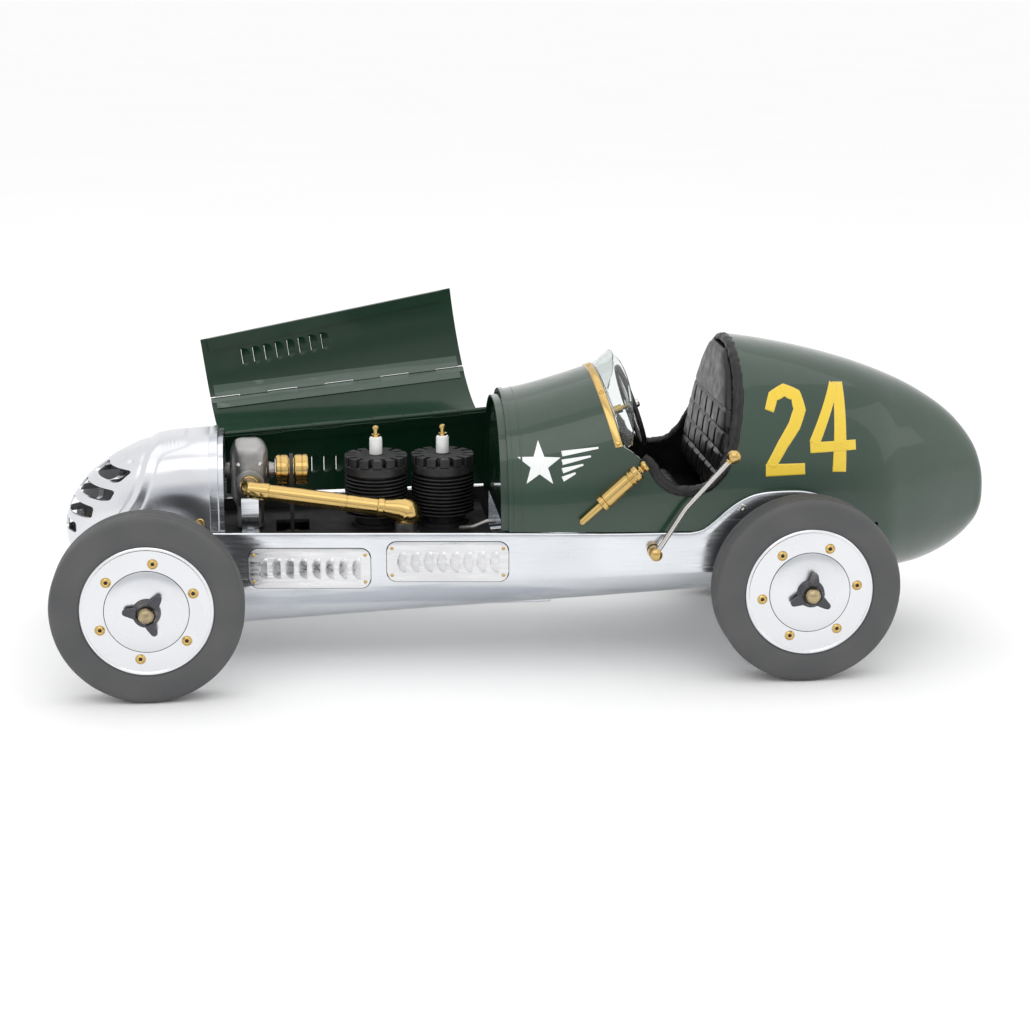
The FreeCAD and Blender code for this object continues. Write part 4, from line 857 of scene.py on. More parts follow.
BOLT = [(1.0, -0.7), (1.0, 0.7), (1.3, 0.95), (1.9, 0.9), (2.3, 0.55), (2.5, 0.35), (2.8, 0.3),
        (3.0, 0.0), (3.05, -0.8)]
BALL_NUT = [(0.0, 9.3), (1.6, 9.15), (3.0, 8.5), (4.0, 7.4), (4.5, 6.0), (4.5, 4.9), (4.1, 4.0),
            (4.1, 2.0), (0.0, 2.0)]
BOSS = [(0.0, 2.4), (5.0, 2.4), (5.3, 4.3), (6.4, 4.2), (7.1, 3.6), (7.5, 2.6), (7.6, 1.0),
        (7.9, 0.3), (8.0, 0.0)]
# Side, turn of the first bolt and turn of the first wing, in degrees.
WHEELS = {"front_near": (-1, 81.0, 52.0), "front_far": (1, 81.0, 52.0),
          "rear_near": (-1, 67.0, 84.0), "rear_far": (1, 67.0, 84.0)}
WHEEL_FACE, BOLT_CIRCLE, BOLT_SUNK, NUT_PROUD = 98.0, 27.5, 1.05, 1.15
wing_outline = [(5.0, -3.4), (8.0, -3.0), (11.0, -2.2), (12.6, -1.6), (13.1, -0.6),
                (13.0, 0.7), (12.2, 1.7), (10.6, 2.0), (8.0, 2.7), (5.0, 3.4)]
for corner, (side, bolt_phase, wing_phase) in WHEELS.items():
    axle_x = AXLES[corner.split("_")[0]]
    rider = "wheel_" + corner
    foot, inward = Vector((axle_x, side * WHEEL_FACE, AXLE_Z)), Vector((0, -side, 0))
    tyre = turned("tyre_tread_" + corner, tyre_profile, "rubber", rider, foot, inward, 160, 30)
    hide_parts("tyre_" + corner)
    hub = turned("wheel_plate_" + corner, DISC, "disc", rider, foot, inward, 128, 25)
    seam = turned("disc_seam_" + corner, [(23.1, 1.35), (23.1, 2.4), (23.55, 2.4), (23.55, 1.35)],
                  "dark", rider, foot, inward, 128, 25)
    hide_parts("disc_" + corner)
    for index in range(6):
        angle = math.radians(bolt_phase + 60 * index)
        spot = foot + Vector((math.cos(angle), 0, math.sin(angle))) * BOLT_CIRCLE
        spot += inward * BOLT_SUNK
        bolt = turned("bolt_%s_%d" % (corner, index), BOLT, "brass", rider, spot, -inward, 28, 30)
        # A dark disc in each bolt's socket hole paints the shade inside it.
        socket = turned("socket_%s_%d" % (corner, index), [(0, 0.15), (1.1, 0.15), (1.1, -0.4)],
                        "dark", rider, spot, -inward, 16)
    nut_foot = foot + inward * -NUT_PROUD
    nut = turned("nut_boss_" + corner, BOSS, "bronze", rider, nut_foot, -inward, 64)
    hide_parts("spinner_" + corner)
    ball = turned("nut_ball_" + corner, BALL_NUT, "gilt", rider, nut_foot, -inward, 48)
    for index in range(3):
        points, faces = prism(wing_outline, -1.7, 1.7, 1)
        angle = wing_phase + 120 * index
        matrix = (Matrix.Translation(foot + inward * -4.3)
                  @ Matrix.Rotation(math.radians(-angle), 4, "Y"))
        wing = make("nut_wing_%s_%d" % (corner, index), points, faces, "bronze", rider, 40, matrix)
        round_edges(wing, 1.0, 3)
keep("chrome", "axle_front", "axle_rear")

# ---------------------------------------------------------------------- engine
CYLINDERS = {"front": -93.0, "rear": -53.5}
HEAD_Z, HEAD_TALL, HEAD_R, NOTCHES = 112.0, 5.0, 18.7, 14
SLOT_FLOOR, SLOT_HALF = 12.6, 1.25


def head_outline():
    """Castellated rim: deep narrow slots between square teeth."""
    outline = []
    for index in range(NOTCHES):
        middle = 2 * math.pi * index / NOTCHES
        half_slot = SLOT_HALF / HEAD_R
        for side in (-1, 1):
            angle = middle + side * SLOT_HALF / SLOT_FLOOR
            outline.append((SLOT_FLOOR * math.cos(angle), SLOT_FLOOR * math.sin(angle)))
        for part in range(7):
            angle = middle + half_slot + (2 * math.pi / NOTCHES - 2 * half_slot) * part / 6
            outline.append((HEAD_R * math.cos(angle), HEAD_R * math.sin(angle)))
    return outline


for label, x in CYLINDERS.items():
    profile = [(0.0, 0.0), (15.2, 0.0), (15.2, 1.8), (12.8, 2.0), (12.8, 6.0), (14.6, 6.2)]
    for index in range(11):
        z = 7.0 + 2.18 * index
        profile += [(14.8, z), (18.4, z + 0.15), (18.7, z + 0.4), (18.7, z + 0.7),
                    (18.4, z + 0.95), (14.8, z + 1.1)]
    profile += [(14.8, 31.2), (18.2, 31.5), (18.6, 31.9), (18.6, 36.4), (18.2, 36.8),
                (17.0, 37.0), (16.6, 37.3), (0, 37.3)]
    barrel = turned("barrel_" + label, profile, "black", "chassis", (x, 0, 75.0), (0, 0, 1), 96, 30)
    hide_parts("cylinder_" + label)
    outline = [(x + a, b) for a, b in head_outline()]
    head = make("head_" + label, *prism(outline, HEAD_Z, HEAD_Z + HEAD_TALL, 2), "black",
                crease=30)
    round_edges(head, 0.35, 2)
    crown = turned("crown_" + label, [(0, 0.55), (5.0, 0.5), (5.2, 0.1), (11.2, 0.1), (11.8, -0.4)],
                   "black", "chassis", (x, 0, HEAD_Z + HEAD_TALL), (0, 0, 1), 64)
    plug = turned("insulator_" + label, [(0, 0), (3.7, 0), (3.9, 0.6), (3.8, 9.4), (3.4, 10.2),
                                         (2.6, 10.6), (0, 10.6)],
                  "ceramic", "chassis", (x, 0, 117.3), (0, 0, 1), 40)
    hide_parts("spark_plug_" + label)
    tip = turned("terminal_" + label,
                 [(0, 0), (2.6, 0), (2.7, 1.5), (1.5, 1.8), (1.4, 4.0), (1.9, 4.2), (1.9, 5.4),
                  (1.5, 6.2), (0, 6.9)],
                 "brass", "chassis", (x, 0, 127.8), (0, 0, 1), 28)

# Blower casting: rounded block that swells over the ports.
BLOWER_X, BLOWER_TOP, PORT_Z = -167.5, 128.7, 103.5
rings, levels = [], steps(76.0, 120.0, 16) + [122.5, 124.8, 126.6, 127.9, 128.5, 128.7]
for z in levels:
    lift = max(z - 118.0, 0.0) / (BLOWER_TOP - 118.0)
    shrink = math.sqrt(max(1.0 - lift ** 2, 0.02))
    waist_in = 0.72 if z < 88 else 0.72 + 0.28 * min((z - 88) / 7.0, 1.0)
    half_x, half_y = 11.0 * waist_in * (0.35 + 0.65 * shrink), 11.3 * waist_in * shrink
    for c, s in ring(1.0, 40):
        rings.append(Vector((BLOWER_X + math.copysign(abs(c) ** 0.62, c) * half_x,
                             math.copysign(abs(s) ** 0.62, s) * half_y, z)))
faces = grid_faces(len(levels), 40, True) + end_faces(rings, len(levels))
blower = make("blower_casting", rings, faces, "cast", crease=50)
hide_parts("blower")
neck = turned("blower_neck", [(0, 0), (8.2, 0), (8.2, 1.2), (5.2, 2.6), (4.6, 6.0), (0, 6.0)],
              "cast", "chassis", (BLOWER_X + 8.9, 0, 108.8), (1, 0, 0), 48)
stub = turned("blower_stub", [(0, 0), (7.6, 0), (7.4, 1.6), (4.8, 2.6), (4.6, 5.4), (4.0, 5.8),
                              (0, 5.8)],
              "cast", "chassis", (BLOWER_X - 8.9, 0, 109.4), (-1, 0, 0), 48)
cap = turned("blower_cover",
             [(8.4, -0.6), (8.4, 0.5), (7.6, 0.9), (5.0, 0.9), (4.4, 0.4), (0, 0.4)],
             "cast", "chassis", (BLOWER_X, -11.4, PORT_Z), (0, -1, 0), 48)
for index, (dx, dz) in enumerate(((-6.2, 19.0), (6.2, 19.0), (-6.2, 5.0), (6.2, 5.0))):
    screw = turned("blower_screw_%d" % index, [(0, 0.9), (0.9, 0.8), (1.4, 0.3), (1.5, -0.4)],
                   "chrome", "chassis", (BLOWER_X + dx, -10.2, 96 + dz), (0, -1, 0), 20)

DRUM = [(2.05, 0.0), (8.2, 0.0), (8.9, 0.3), (9.3, 1.0), (9.3, 2.6), (9.0, 2.9), (9.0, 3.2),
        (9.3, 3.5), (9.3, 6.3), (8.9, 7.3), (7.6, 7.5), (7.5, 7.7), (7.5, 10.7), (7.6, 10.9),
        (8.9, 11.1), (9.3, 11.9), (9.3, 15.2), (9.0, 15.5), (9.0, 15.8), (9.3, 16.1),
        (9.3, 18.3), (8.8, 19.0), (8.0, 19.2), (0.0, 19.2), (0.0, 17.0), (2.05, 17.0)]
drum = turned("blower_drum_brass", DRUM, "brass", "drum", (-152.2, 0, 108.8), (1, 0, 0), 96, 25)
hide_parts("blower_drum")
keep("brass", "crank_pulley")
keep("black", "drive_belt")
keep("dark", "engine_tray", "crankcase", "dashboard")
keep("aluminium", "blower_bracket")
keep("cast", "carburettor", "fuel_line")
keep("paint", "firewall")

# Intake pipe: knuckle at the blower, long tube with sleeves, bulb elbow and outlet.
pipe_start, pipe_end = Vector((BLOWER_X, -25.5, PORT_Z)), Vector((-77.5, -30.0, 90.0))
way = (pipe_end - pipe_start).normalized()
PIPE = [(4.4, -1.0), (4.4, 6.0), (5.0, 6.2), (5.2, 6.8), (5.2, 10.6), (5.0, 11.2), (4.6, 11.4),
        (5.0, 56.0), (4.8, 56.2), (4.8, 56.8), (5.0, 57.0), (5.2, 74.4), (5.6, 74.6),
        (5.9, 75.2), (5.9, 78.0), (5.6, 78.6), (5.2, 78.8), (5.8, 82.0), (6.6, 85.0), (7.0, 88.4)]
pipe = turned("intake_tube", PIPE, "brass", "chassis", pipe_start, way, 48, 25)
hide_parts("intake_pipe")
knuckle_line = smooth_line([(BLOWER_X, -11.5, PORT_Z), (BLOWER_X, -18.5, 103.6),
                            (-167.2, -23.6, 103.4), (-164.4, -25.6, 103.0),
                            (-160.0, -25.9, 102.4)], 6)
knuckle = make("intake_knuckle", *sweep(knuckle_line, ring(5.0)), "brass", crease=30)
nut = turned("intake_nut", [(3.0, 0), (5.4, 0), (5.6, 0.5), (5.6, 3.4), (5.3, 3.9), (3.0, 3.9)],
             "brass", "chassis", (BLOWER_X, -12.4, PORT_Z), (0, -1, 0), 12, 20)
bend = [pipe_end + way * run + Vector((0, 0, -drop))
        for run, drop in ((-6.0, 0), (-3, 0), (0.6, 0.8), (1.6, 3.4), (1.4, 6.3))]
BEND_RADIUS = [5.8, 7.2, 8.0, 7.6, 6.0]


def bend_ring(share):
    spot = share * (len(BEND_RADIUS) - 1)
    low = min(int(spot), len(BEND_RADIUS) - 2)
    return ring(BEND_RADIUS[low] + (BEND_RADIUS[low + 1] - BEND_RADIUS[low]) * (spot - low), 32)


elbow = make("intake_elbow", *sweep(smooth_line(bend, 5), bend_ring), "brass", crease=40)
outlet = turned("intake_outlet", [(0, -1), (5.2, -1), (5.6, 0.6), (6.2, 1.0), (6.3, 2.6),
                                  (5.8, 3.2), (0, 3.2)],
                "brass", "chassis", (-77.3, -30.0, 86.6), (0, 0, -1), 40)

# --------------------------------------------------------------------- cockpit
def slanted(angle, shift, depth):
    """Point of the skin on the screen's raked plane, shift forward of it."""
    x = 42.0
    for _ in range(12):
        spot = hull_point(x, angle, depth)
        x = SCREEN_LINE[0][0] + (SCREEN_LINE[0][1] - spot.z) * 10.0 / 37.0 - shift
    return hull_point(x, angle, depth)


def screen_angle():
    low, high = 0.0, math.pi / 2
    for _ in range(40):
        middle = (low + high) / 2
        low, high = (middle, high) if slanted(middle, 0, 0).z < 131.2 else (low, middle)
    return low


foot_angle = screen_angle()
strip_angles = steps(foot_angle, math.pi - foot_angle, 90)
strip_points = []
for shift, depth in ((5.0, 0.05), (4.8, -0.55), (4.4, -0.75), (0.8, -0.75), (0.4, -0.55),
                     (0.2, 0.05)):
    strip_points += [slanted(angle, shift, depth) for angle in strip_angles]
strip = make("screen_strip", strip_points, loop_faces(6, 90), "brass", crease=50)
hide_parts("windscreen_strip")
STRIP_SCREW = [(0, 0.35), (0.7, 0.3), (0.75, 0.6), (1.2, 0.5), (1.5, 0.0), (1.5, -0.3)]
for index, share in enumerate((0.015, 0.25, 0.5, 0.75, 0.985)):
    angle = foot_angle + (math.pi - 2 * foot_angle) * share
    spot, above = slanted(angle, 2.6, -0.7), slanted(angle, 2.6, -2.0)
    screw = turned("strip_screw_%d" % index, STRIP_SCREW, "brass", "chassis", spot,
                   above - spot, 24)

SCREEN_RIM = [(0, 45.0, 177.2), (14, 48.6, 174.5), (26, 51.2, 168.2), (37, 52.6, 159.0),
              (46, 52.4, 149.8), (53, 51.6, 140.6), (57.5, 50.3, 132.6)]
rim_line = smooth_line([(x, -y, z) for y, x, z in reversed(SCREEN_RIM)]
                       + [(x, y, z) for y, x, z in SCREEN_RIM[1:]], 6)
SCREEN_ROWS = 14
foot_angles = steps(foot_angle, math.pi - foot_angle, 400)
foot_widths = [hull_point(41, angle).y for angle in foot_angles]
outer, inner = [], []
for rim_spot in rim_line:
    gaps = [abs(width - rim_spot.y) for width in foot_widths]
    base = slanted(foot_angles[gaps.index(min(gaps))], -0.2, 0.3)
    for step in range(SCREEN_ROWS):
        t = step / (SCREEN_ROWS - 1)
        spot = base.lerp(rim_spot, t)
        bulge = Vector((0.6, 0, 0.3)) * math.sin(math.pi * t) * 1.2
        outer.append(spot - bulge)
        inner.append(spot - bulge + Vector((0.9, -rim_spot.y / 90.0, -0.55)))
screen = make("screen_glass",
              *thicken(outer, inner, grid_faces(len(rim_line), SCREEN_ROWS)), "glass", crease=50)
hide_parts("windscreen")

# Leather roll round the cockpit mouth, from one screen foot over the seat to the other.
half_mouth = [(p.x, p.z) for p in opening_line if p.x > 55 and p.z < 172]
near_path = [Vector((x, -surface_y(x, z) + 0.4, z)) for x, z in half_mouth]
top_x = half_mouth[-1][0] + 0.2
top_first = min(steps(0.1, math.pi / 2, 600), key=lambda a: abs(hull_point(top_x, a).z - 173.0))
arc = even_arc(top_x, math.pi - top_first, top_first, 40, 0.4)
far_path = [Vector((p.x, -p.y, p.z)) for p in reversed(near_path)]
roll_path = smooth_line((near_path + arc + far_path)[::2], 4)


def wrinkled(spot, amount):
    slow = noise.noise(Vector((spot.x, spot.y * 1.4, spot.z)) * 0.16)
    return slow * amount + noise.noise(spot * 0.5) * amount * 0.4


def inside_of(spot):
    """Direction across the roll, square to the body's skin."""
    return Vector((0.0, spot.y / 60.0, (spot.z - 82) / 100.0)).normalized()


ROLL_COUNT = 20
roll_points, roll_faces = sweep(
    roll_path, [(3.1 * c, 2.6 * s) for c, s in ring(1.0, ROLL_COUNT)], turn=inside_of)
creased = []
for index, spot in enumerate(roll_points):
    centre = roll_path[index // ROLL_COUNT]
    ripple = 1.0 + wrinkled(spot, 0.24) + 0.12 * noise.noise(spot * 0.9)
    toward = Vector((88 - centre.x, 0, 150 - centre.z)).normalized()
    creased.append(centre + (spot - centre) * ripple + toward * 1.7 - inside_of(centre) * 0.5)
coaming = make("coaming_roll", creased, roll_faces, "leather", crease=60)
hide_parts("cockpit_coaming")
keep("leather", "cockpit_tub")

# Seat back: smooth head band over a quilted field.
SEAT_FOOT, SEAT_HEAD = Vector((101.0, 0, 100.0)), Vector((111.5, 0, 181.0))
seat_way = (SEAT_HEAD - SEAT_FOOT).normalized()
seat_front = Vector((-seat_way.z, 0, seat_way.x))
BAND = 0.60
QUILT = (17.0, 12.0)


def groove(value, pitch, width=0.9):
    gap = abs((value / pitch + 0.5) % 1.0 - 0.5) * pitch
    return math.exp(-(gap / width) ** 2)


def seat_pad(name, rows, columns, pair):
    """Padded sheet; pair(s, u) gives the outer and inner point, s 0 to 1 and u -1 to 1."""
    outer, inner = [], []
    for row in range(rows):
        for column in range(columns):
            front, back = pair(row / (rows - 1), -1 + 2 * column / (columns - 1))
            outer.append(front)
            inner.append(back)
    return make(name, *thicken(outer, inner, grid_faces(rows, columns)), "leather", crease=60)


def seat_back(s, u):
    base = SEAT_FOOT.lerp(SEAT_HEAD, s * 0.985)
    reach = max(surface_y(base.x + 2.0, base.z + 1.0) - 4.6, 2.0)
    y, run = u * reach, (base - SEAT_FOOT).length
    crown = math.sqrt(max(1 - abs(u) ** 6, 0.0)) * min(s / 0.04, 1.0) ** 0.5 * min(
        (1 - s) / 0.03, 1.0) ** 0.5
    lines = max(groove(y, QUILT[0]), groove(run - 1.5, QUILT[1])) if s < BAND else 0.0
    lines = max(lines, groove(run - BAND * 83.3, 400.0, 1.0))
    puff = 2.2 * crown - 1.3 * lines * crown
    puff += 0.25 * noise.noise(Vector((y, run, 3.0)) * 0.12) * crown
    spot = base + Vector((0, y, 0))
    return spot + seat_front * (puff - 0.4), spot - seat_front * 3.6


def seat_cushion(s, u):
    x, y = 58.5 + 32.0 * s, u * 43.0
    crown = max((1 - abs(u) ** 8) * (1 - abs(2 * s - 1) ** 8), 0.0) ** 0.5
    top = (90.5 + 5.6 * crown - 1.4 * groove(y, 14.0) * crown
           + 0.4 * noise.noise(Vector((x, y, 1.0)) * 0.1) * crown)
    return Vector((x, y, top)), Vector((x, y, 86.0))


seat = seat_pad("seat_back_quilt", 120, 110, seat_back)
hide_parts("seat_back")
cushion = seat_pad("seat_cushion_pad", 70, 90, seat_cushion)
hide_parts("seat_cushion")

# Steering wheel: slim rim, four spokes and a bright hub nut.
WHEEL_CENTRE = Vector((59.0, 0, 143.6))
LEAN = math.radians(19.0)
column_way = Vector((math.cos(LEAN), 0, math.sin(LEAN)))
RIM_RADIUS, GRIP_RADIUS = 24.0, 1.55
rim_profile = [(RIM_RADIUS + GRIP_RADIUS * math.cos(2 * math.pi * i / 16),
                GRIP_RADIUS * math.sin(2 * math.pi * i / 16)) for i in range(17)]
wheel_rim = turned("steering_rim", rim_profile, "black", "steering", WHEEL_CENTRE, column_way,
                   96, 60)
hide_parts("steering_wheel")
hub = turned("steering_hub", [(1.5, -2.4), (4.0, -2.4), (4.0, 1.2), (3.6, 1.8), (2.6, 2.0),
                              (2.6, 4.6), (2.1, 5.4), (0, 5.6), (0, 3.2), (1.5, 3.0)],
             "chrome", "steering", WHEEL_CENTRE, column_way, 40, 30)
across = frame_along(column_way)
for index in range(4):
    outline = [(3.4, -1.5), (12.0, -1.0), (23.2, -1.3), (23.2, 1.3), (12.0, 1.0), (3.4, 1.5)]
    points, faces = prism(outline, -0.6, 0.6, 1)
    matrix = (Matrix.Translation(WHEEL_CENTRE) @ across
              @ Matrix.Rotation(math.radians(45 + 90 * index), 4, "Y"))
    spoke = make("steering_spoke_%d" % index, points, faces, "chrome", "steering", 40, matrix)
    round_edges(spoke, 0.25)
keep("brass", "steering_column")

# Hand pump on the cowl.
PUMP_FOOT, PUMP_WAY = Vector((33.1, -66.9, 101.0)), Vector((0.748, 0, 0.665)).normalized()
PUMP = [(0.0, -17.4), (1.2, -17.4), (1.9, -16.6), (2.1, -8.0), (2.15, -2.0), (3.3, -1.7),
        (4.9, -1.2), (4.9, 1.0), (4.5, 1.5), (4.1, 1.7), (4.5, 2.4), (4.5, 19.6), (4.0, 20.2),
        (4.0, 20.8), (4.8, 21.2), (4.8, 22.2), (4.1, 22.5), (4.1, 23.6), (4.7, 23.9), (5.0, 24.5),
        (5.0, 26.4), (4.2, 27.2), (2.2, 27.6), (1.58, 27.6), (1.58, 5.0), (0.0, 5.0)]
barrel = turned("pump_tube", PUMP, "brass", "chassis", PUMP_FOOT, PUMP_WAY, 48, 25)
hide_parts("pump_barrel")
KNOB = [(0.0, 19.0), (1.4, 19.0), (1.4, 28.0), (2.4, 28.2), (2.6, 28.8), (2.3, 29.4), (1.7, 29.8),
        (2.6, 30.3), (3.4, 31.0), (3.6, 31.8), (3.4, 32.8), (2.4, 33.4), (0.0, 33.6)]
knob = turned("pump_knob", KNOB, "brass", "pump_handle", PUMP_FOOT, PUMP_WAY, 40, 25)
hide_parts("pump_plunger")

# Handbrake rod, its pivot and knob.
PIVOT_X, PIVOT_Z = 62.8, 71.9
rail_face = -(PIVOT_X * 0.1125 + 60.65)
lever_y = rail_face - 6.2
lever_line = smooth_line([(x, lever_y, z) for x, z in (
    (PIVOT_X, PIVOT_Z), (66.5, 77.7), (73.5, 88.8), (78.4, 96.6), (81.0, 100.0), (90.0, 109.9),
    (104.8, 126.0))], 6)
rod = make("brake_rod", *sweep(lever_line, ring(1.5, 20)), "chrome", "handbrake", 40)
eye = turned("brake_eye", [(1.28, -1.45), (2.6, -1.45), (2.95, -1.1), (2.95, 1.1), (2.6, 1.45),
                           (1.28, 1.45), (1.28, -1.45)],
             "chrome", "handbrake", (PIVOT_X, lever_y, PIVOT_Z), (0, -1, 0), 40, 30)
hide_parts("brake_lever")
tip = Vector((106.8, lever_y, 128.2))
tip_way = (lever_line[-1] - lever_line[-3]).normalized()
BALL = [(0.0, -4.9), (1.9, -4.9), (2.1, -4.4), (2.0, -3.6)]
BALL += [(4.0 * math.sin(math.radians(a)), -4.0 * math.cos(math.radians(a)))
         for a in range(30, 181, 10)]
ball = turned("brake_ball", BALL, "brass", "handbrake", tip, tip_way, 48, 30)
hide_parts("brake_knob")
pivot = turned("brake_pivot", [(0, 10.4), (1.4, 10.3), (2.7, 9.7), (3.5, 8.7), (3.5, 8.1),
                               (1.2, 8.0), (1.2, 4.4), (3.4, 4.3), (3.7, 3.8), (3.7, 0.0), (0, 0)],
               "brass", "chassis", (PIVOT_X, rail_face, PIVOT_Z), (0, -1, 0), 48, 30)
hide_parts("lever_pivot")

SCREW = [(0.6, -0.2), (0.6, 0.5), (1.1, 0.75), (1.9, 0.6), (2.4, 0.0), (2.4, -0.5)]
for name, x, z, look in (("nose_screw", -195.7, 88.4, "brass"),
                         ("arch_screw", 113.5, 96.5, "chrome")):
    for label, side in (("near", -1), ("far", 1)):
        y = surface_y(x, z) if look == "brass" else along(RAIL_HALF_WIDTH, x)
        screw = turned(name + "_" + label, SCREW, look, "chassis", (x, side * y, z),
                       (0, side, 0), 28, 30)


# ---------------------------------------------------------------------- decals
def transfer(name, quads, look, side, lift=0.10):
    """Flat shapes in x and z laid on the body's side, each a strip of (left, right) pairs."""
    points, faces = [], []
    for strip_pairs in quads:
        offset, across = len(points), 9
        for left, right in strip_pairs:
            for step in range(across):
                x = left[0] + (right[0] - left[0]) * step / (across - 1)
                z = left[1] + (right[1] - left[1]) * step / (across - 1)
                points.append((x, side * (surface_y(x, z) + lift), z))
        faces += grid_faces(len(strip_pairs), across, False, offset)
    mesh = make(name, points, faces, look, crease=80)
    thick = mesh.modifiers.new("film", "SOLIDIFY")
    thick.thickness = 0.06 * MM
    return mesh


def stroke(path, widths, spacing=1.2):
    """Strip of (left, right) pairs along a path whose width changes."""
    spots = [Vector((a, b, 0)) for a, b in path]
    pairs = []
    for index in range(len(spots) - 1):
        count = max(int((spots[index + 1] - spots[index]).length / spacing), 1)
        for step in range(count + (index == len(spots) - 2)):
            t = step / count
            spot = spots[index].lerp(spots[index + 1], t)
            before, after = spots[max(index - 1, 0)], spots[min(index + 2, len(spots) - 1)]
            way = (spots[index + 1] - spots[index]).normalized()
            if t < 0.5 and index:
                way = ((spots[index] - before).normalized() * (0.5 - t) + way * (0.5 + t))
            elif t > 0.5 and index < len(spots) - 2:
                way = ((after - spots[index + 1]).normalized() * (t - 0.5) + way * (1.5 - t))
            way.normalize()
            half = (widths[index] + (widths[index + 1] - widths[index]) * t) / 2
            side = Vector((-way.y, way.x, 0)) * half
            pairs.append(((spot.x + side.x, spot.y + side.y), (spot.x - side.x, spot.y - side.y)))
    return pairs


DIGIT_TWO = [(131.5, 149.5), (134.5, 157.0), (141.5, 160.0), (148.5, 157.0), (150.0, 149.5),
             (146.0, 141.0), (138.5, 131.0), (131.0, 119.0)]
TWO = [stroke(DIGIT_TWO, [5.5, 6.2, 6.5, 7.0, 7.6, 7.4, 6.6, 6.0]),
       stroke([(128.0, 117.0), (151.5, 117.0)], [7.0, 6.4])]
FOUR = [stroke([(173.5, 161.5), (157.5, 130.5)], [5.5, 6.5]),
        stroke([(155.0, 128.5), (183.5, 128.5)], [6.0, 5.6]),
        stroke([(176.0, 162.0), (172.5, 114.0)], [6.5, 8.5])]
NUMBER_MIDDLE = 155.5


def turned_round(quads):
    """The same shapes read from the other side of the car."""
    return [[tuple((2 * NUMBER_MIDDLE - x, z) for x, z in pair) for pair in strip_pairs]
            for strip_pairs in quads]


for label, side in (("near", -1), ("far", 1)):
    shapes = TWO + FOUR if side < 0 else turned_round(TWO + FOUR)
    digits = transfer("race_number_" + label, shapes, "yellow", side)

star = []
centre = (-2.0, 121.0)
for index in range(5):
    angle = math.radians(90 + 72 * index)
    tip_point, left, right = [
        (centre[0] + reach * math.cos(angle + turn), centre[1] + reach * math.sin(angle + turn))
        for reach, turn in ((13.0, 0.0), (5.2, math.radians(36)), (5.2, math.radians(-36)))]
    star.append([(tuple(a + (b - a) * t for a, b in zip(left, tip_point)),
                  tuple(a + (b - a) * t for a, b in zip(right, tip_point)))
                 for t in (0.0, 0.25, 0.5, 0.75, 0.97)])
    star.append([(centre, centre), (left, right)])
bars = [stroke([(11.0, 127.0 - 4.6 * k), (32.0 - 4.5 * k, 130.5 - 4.6 * k)], [3.0, 1.0])
        for k in range(4)]
for label, side in (("near", -1), ("far", 1)):
    badge = transfer("cowl_star_" + label, star + bars, "white", side)

# ------------------------------------------------------------ stage and camera
surface("floor", "pale_floor", (0.98, 0.98, 0.98), 0.75,
        tint=((3.0, 2.0), (0.97, 0.97, 0.97), 0.35, 0.7), bumps=[((30.0, 2.0), 0.02, 0.2)])
floor = make("floor", [(-20000, -20000, 0), (20000, -20000, 0), (20000, 20000, 0),
                       (-20000, 20000, 0)], [(0, 1, 2, 3)], "floor", None)

bpy.context.scene.view_settings.view_transform = "Standard"
world = bpy.data.worlds.new("studio")
bpy.context.scene.world = world
world.use_nodes = True
sky = world.node_tree
backdrop = sky.nodes["Background"]
backdrop.inputs["Strength"].default_value = 1.0
heading = sky.nodes.new("ShaderNodeTexCoord")
parts = sky.nodes.new("ShaderNodeSeparateXYZ")
sky.links.new(heading.outputs["Generated"], parts.inputs["Vector"])


def rising(axis, first, last, top):
    """Smooth rise from 0 to top as the view direction goes from first to last along axis."""
    ramp = sky.nodes.new("ShaderNodeMapRange")
    ramp.interpolation_type = "SMOOTHSTEP"
    for key, value in (("From Min", first), ("From Max", last), ("To Min", 0.0), ("To Max", top)):
        ramp.inputs[key].default_value = value
    sky.links.new(parts.outputs[axis], ramp.inputs["Value"])
    return ramp.outputs["Result"]


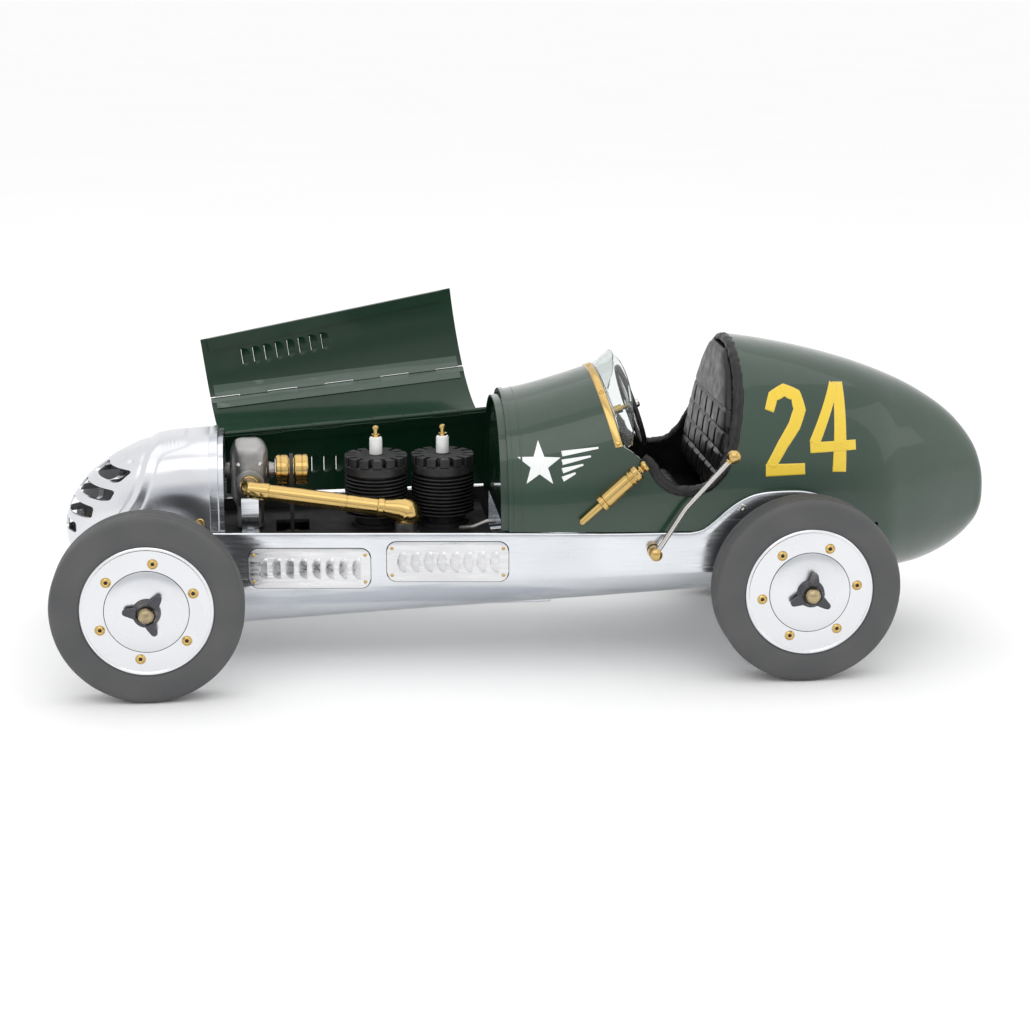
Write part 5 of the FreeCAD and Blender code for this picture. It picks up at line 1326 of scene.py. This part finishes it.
# The room behind the camera is dimmer, as a studio is beyond its white sweep.
both = sky.nodes.new("ShaderNodeMath")
both.operation = "MULTIPLY"
sky.links.new(rising("Y", -0.55, -0.95, 1.0), both.inputs[0])
sky.links.new(rising("Z", 0.30, 0.10, 0.85), both.inputs[1])
tone = sky.nodes.new("ShaderNodeMix")
tone.data_type = "RGBA"
tone.inputs["A"].default_value = (1.0, 1.0, 1.0, 1.0)
tone.inputs["B"].default_value = (0.42, 0.44, 0.48, 1.0)
sky.links.new(both.outputs["Value"], tone.inputs["Factor"])
sky.links.new(tone.outputs["Result"], backdrop.inputs["Color"])


def soft_light(name, place, target, size, power):
    data = bpy.data.lights.new(name, "AREA")
    data.shape, data.size, data.size_y = "RECTANGLE", size[0], size[1]
    data.energy = power
    lamp = bpy.data.objects.new(name, data)
    lamp.location = Vector(place)
    lamp.rotation_mode = "QUATERNION"
    lamp.rotation_quaternion = (Vector(target) - Vector(place)).to_track_quat("-Z", "Y")
    bpy.context.scene.collection.objects.link(lamp)
    return lamp


soft_light("key", (-0.3, -0.9, 1.3), (0, 0, 0.08), (1.6, 0.7), 3.2)
soft_light("top", (0.1, 0.15, 1.4), (0, 0, 0.08), (1.8, 1.2), 3.0)
soft_light("side", (1.5, -0.5, 0.8), (0.1, 0, 0.1), (0.7, 0.9), 1.0)

CAMERA_PLACE = Vector((-0.1483935, -1.2359126, 0.4070207)) + TO_BOX_MIDDLE * MM
YAW, PITCH, ROLL = 0.1114995, 0.2589257, 0.0033126
FOCAL, WIDTH_PX = 2141.446, 1030.0
right = Vector((math.cos(YAW), -math.sin(YAW), 0))
ahead = Vector((math.sin(YAW) * math.cos(PITCH), math.cos(YAW) * math.cos(PITCH), -math.sin(PITCH)))
up = right.cross(ahead)
right, up = (right * math.cos(ROLL) + up * math.sin(ROLL),
             up * math.cos(ROLL) - right * math.sin(ROLL))
lens = bpy.data.cameras.new("camera")
lens.sensor_width = 36.0
lens.lens = FOCAL / WIDTH_PX * 36.0
camera = bpy.data.objects.new("camera", lens)
camera.rotation_mode = "QUATERNION"
camera.location = CAMERA_PLACE
camera.rotation_quaternion = Matrix((right, up, -ahead)).transposed().to_quaternion()
bpy.context.scene.collection.objects.link(camera)
bpy.context.scene.camera = camera
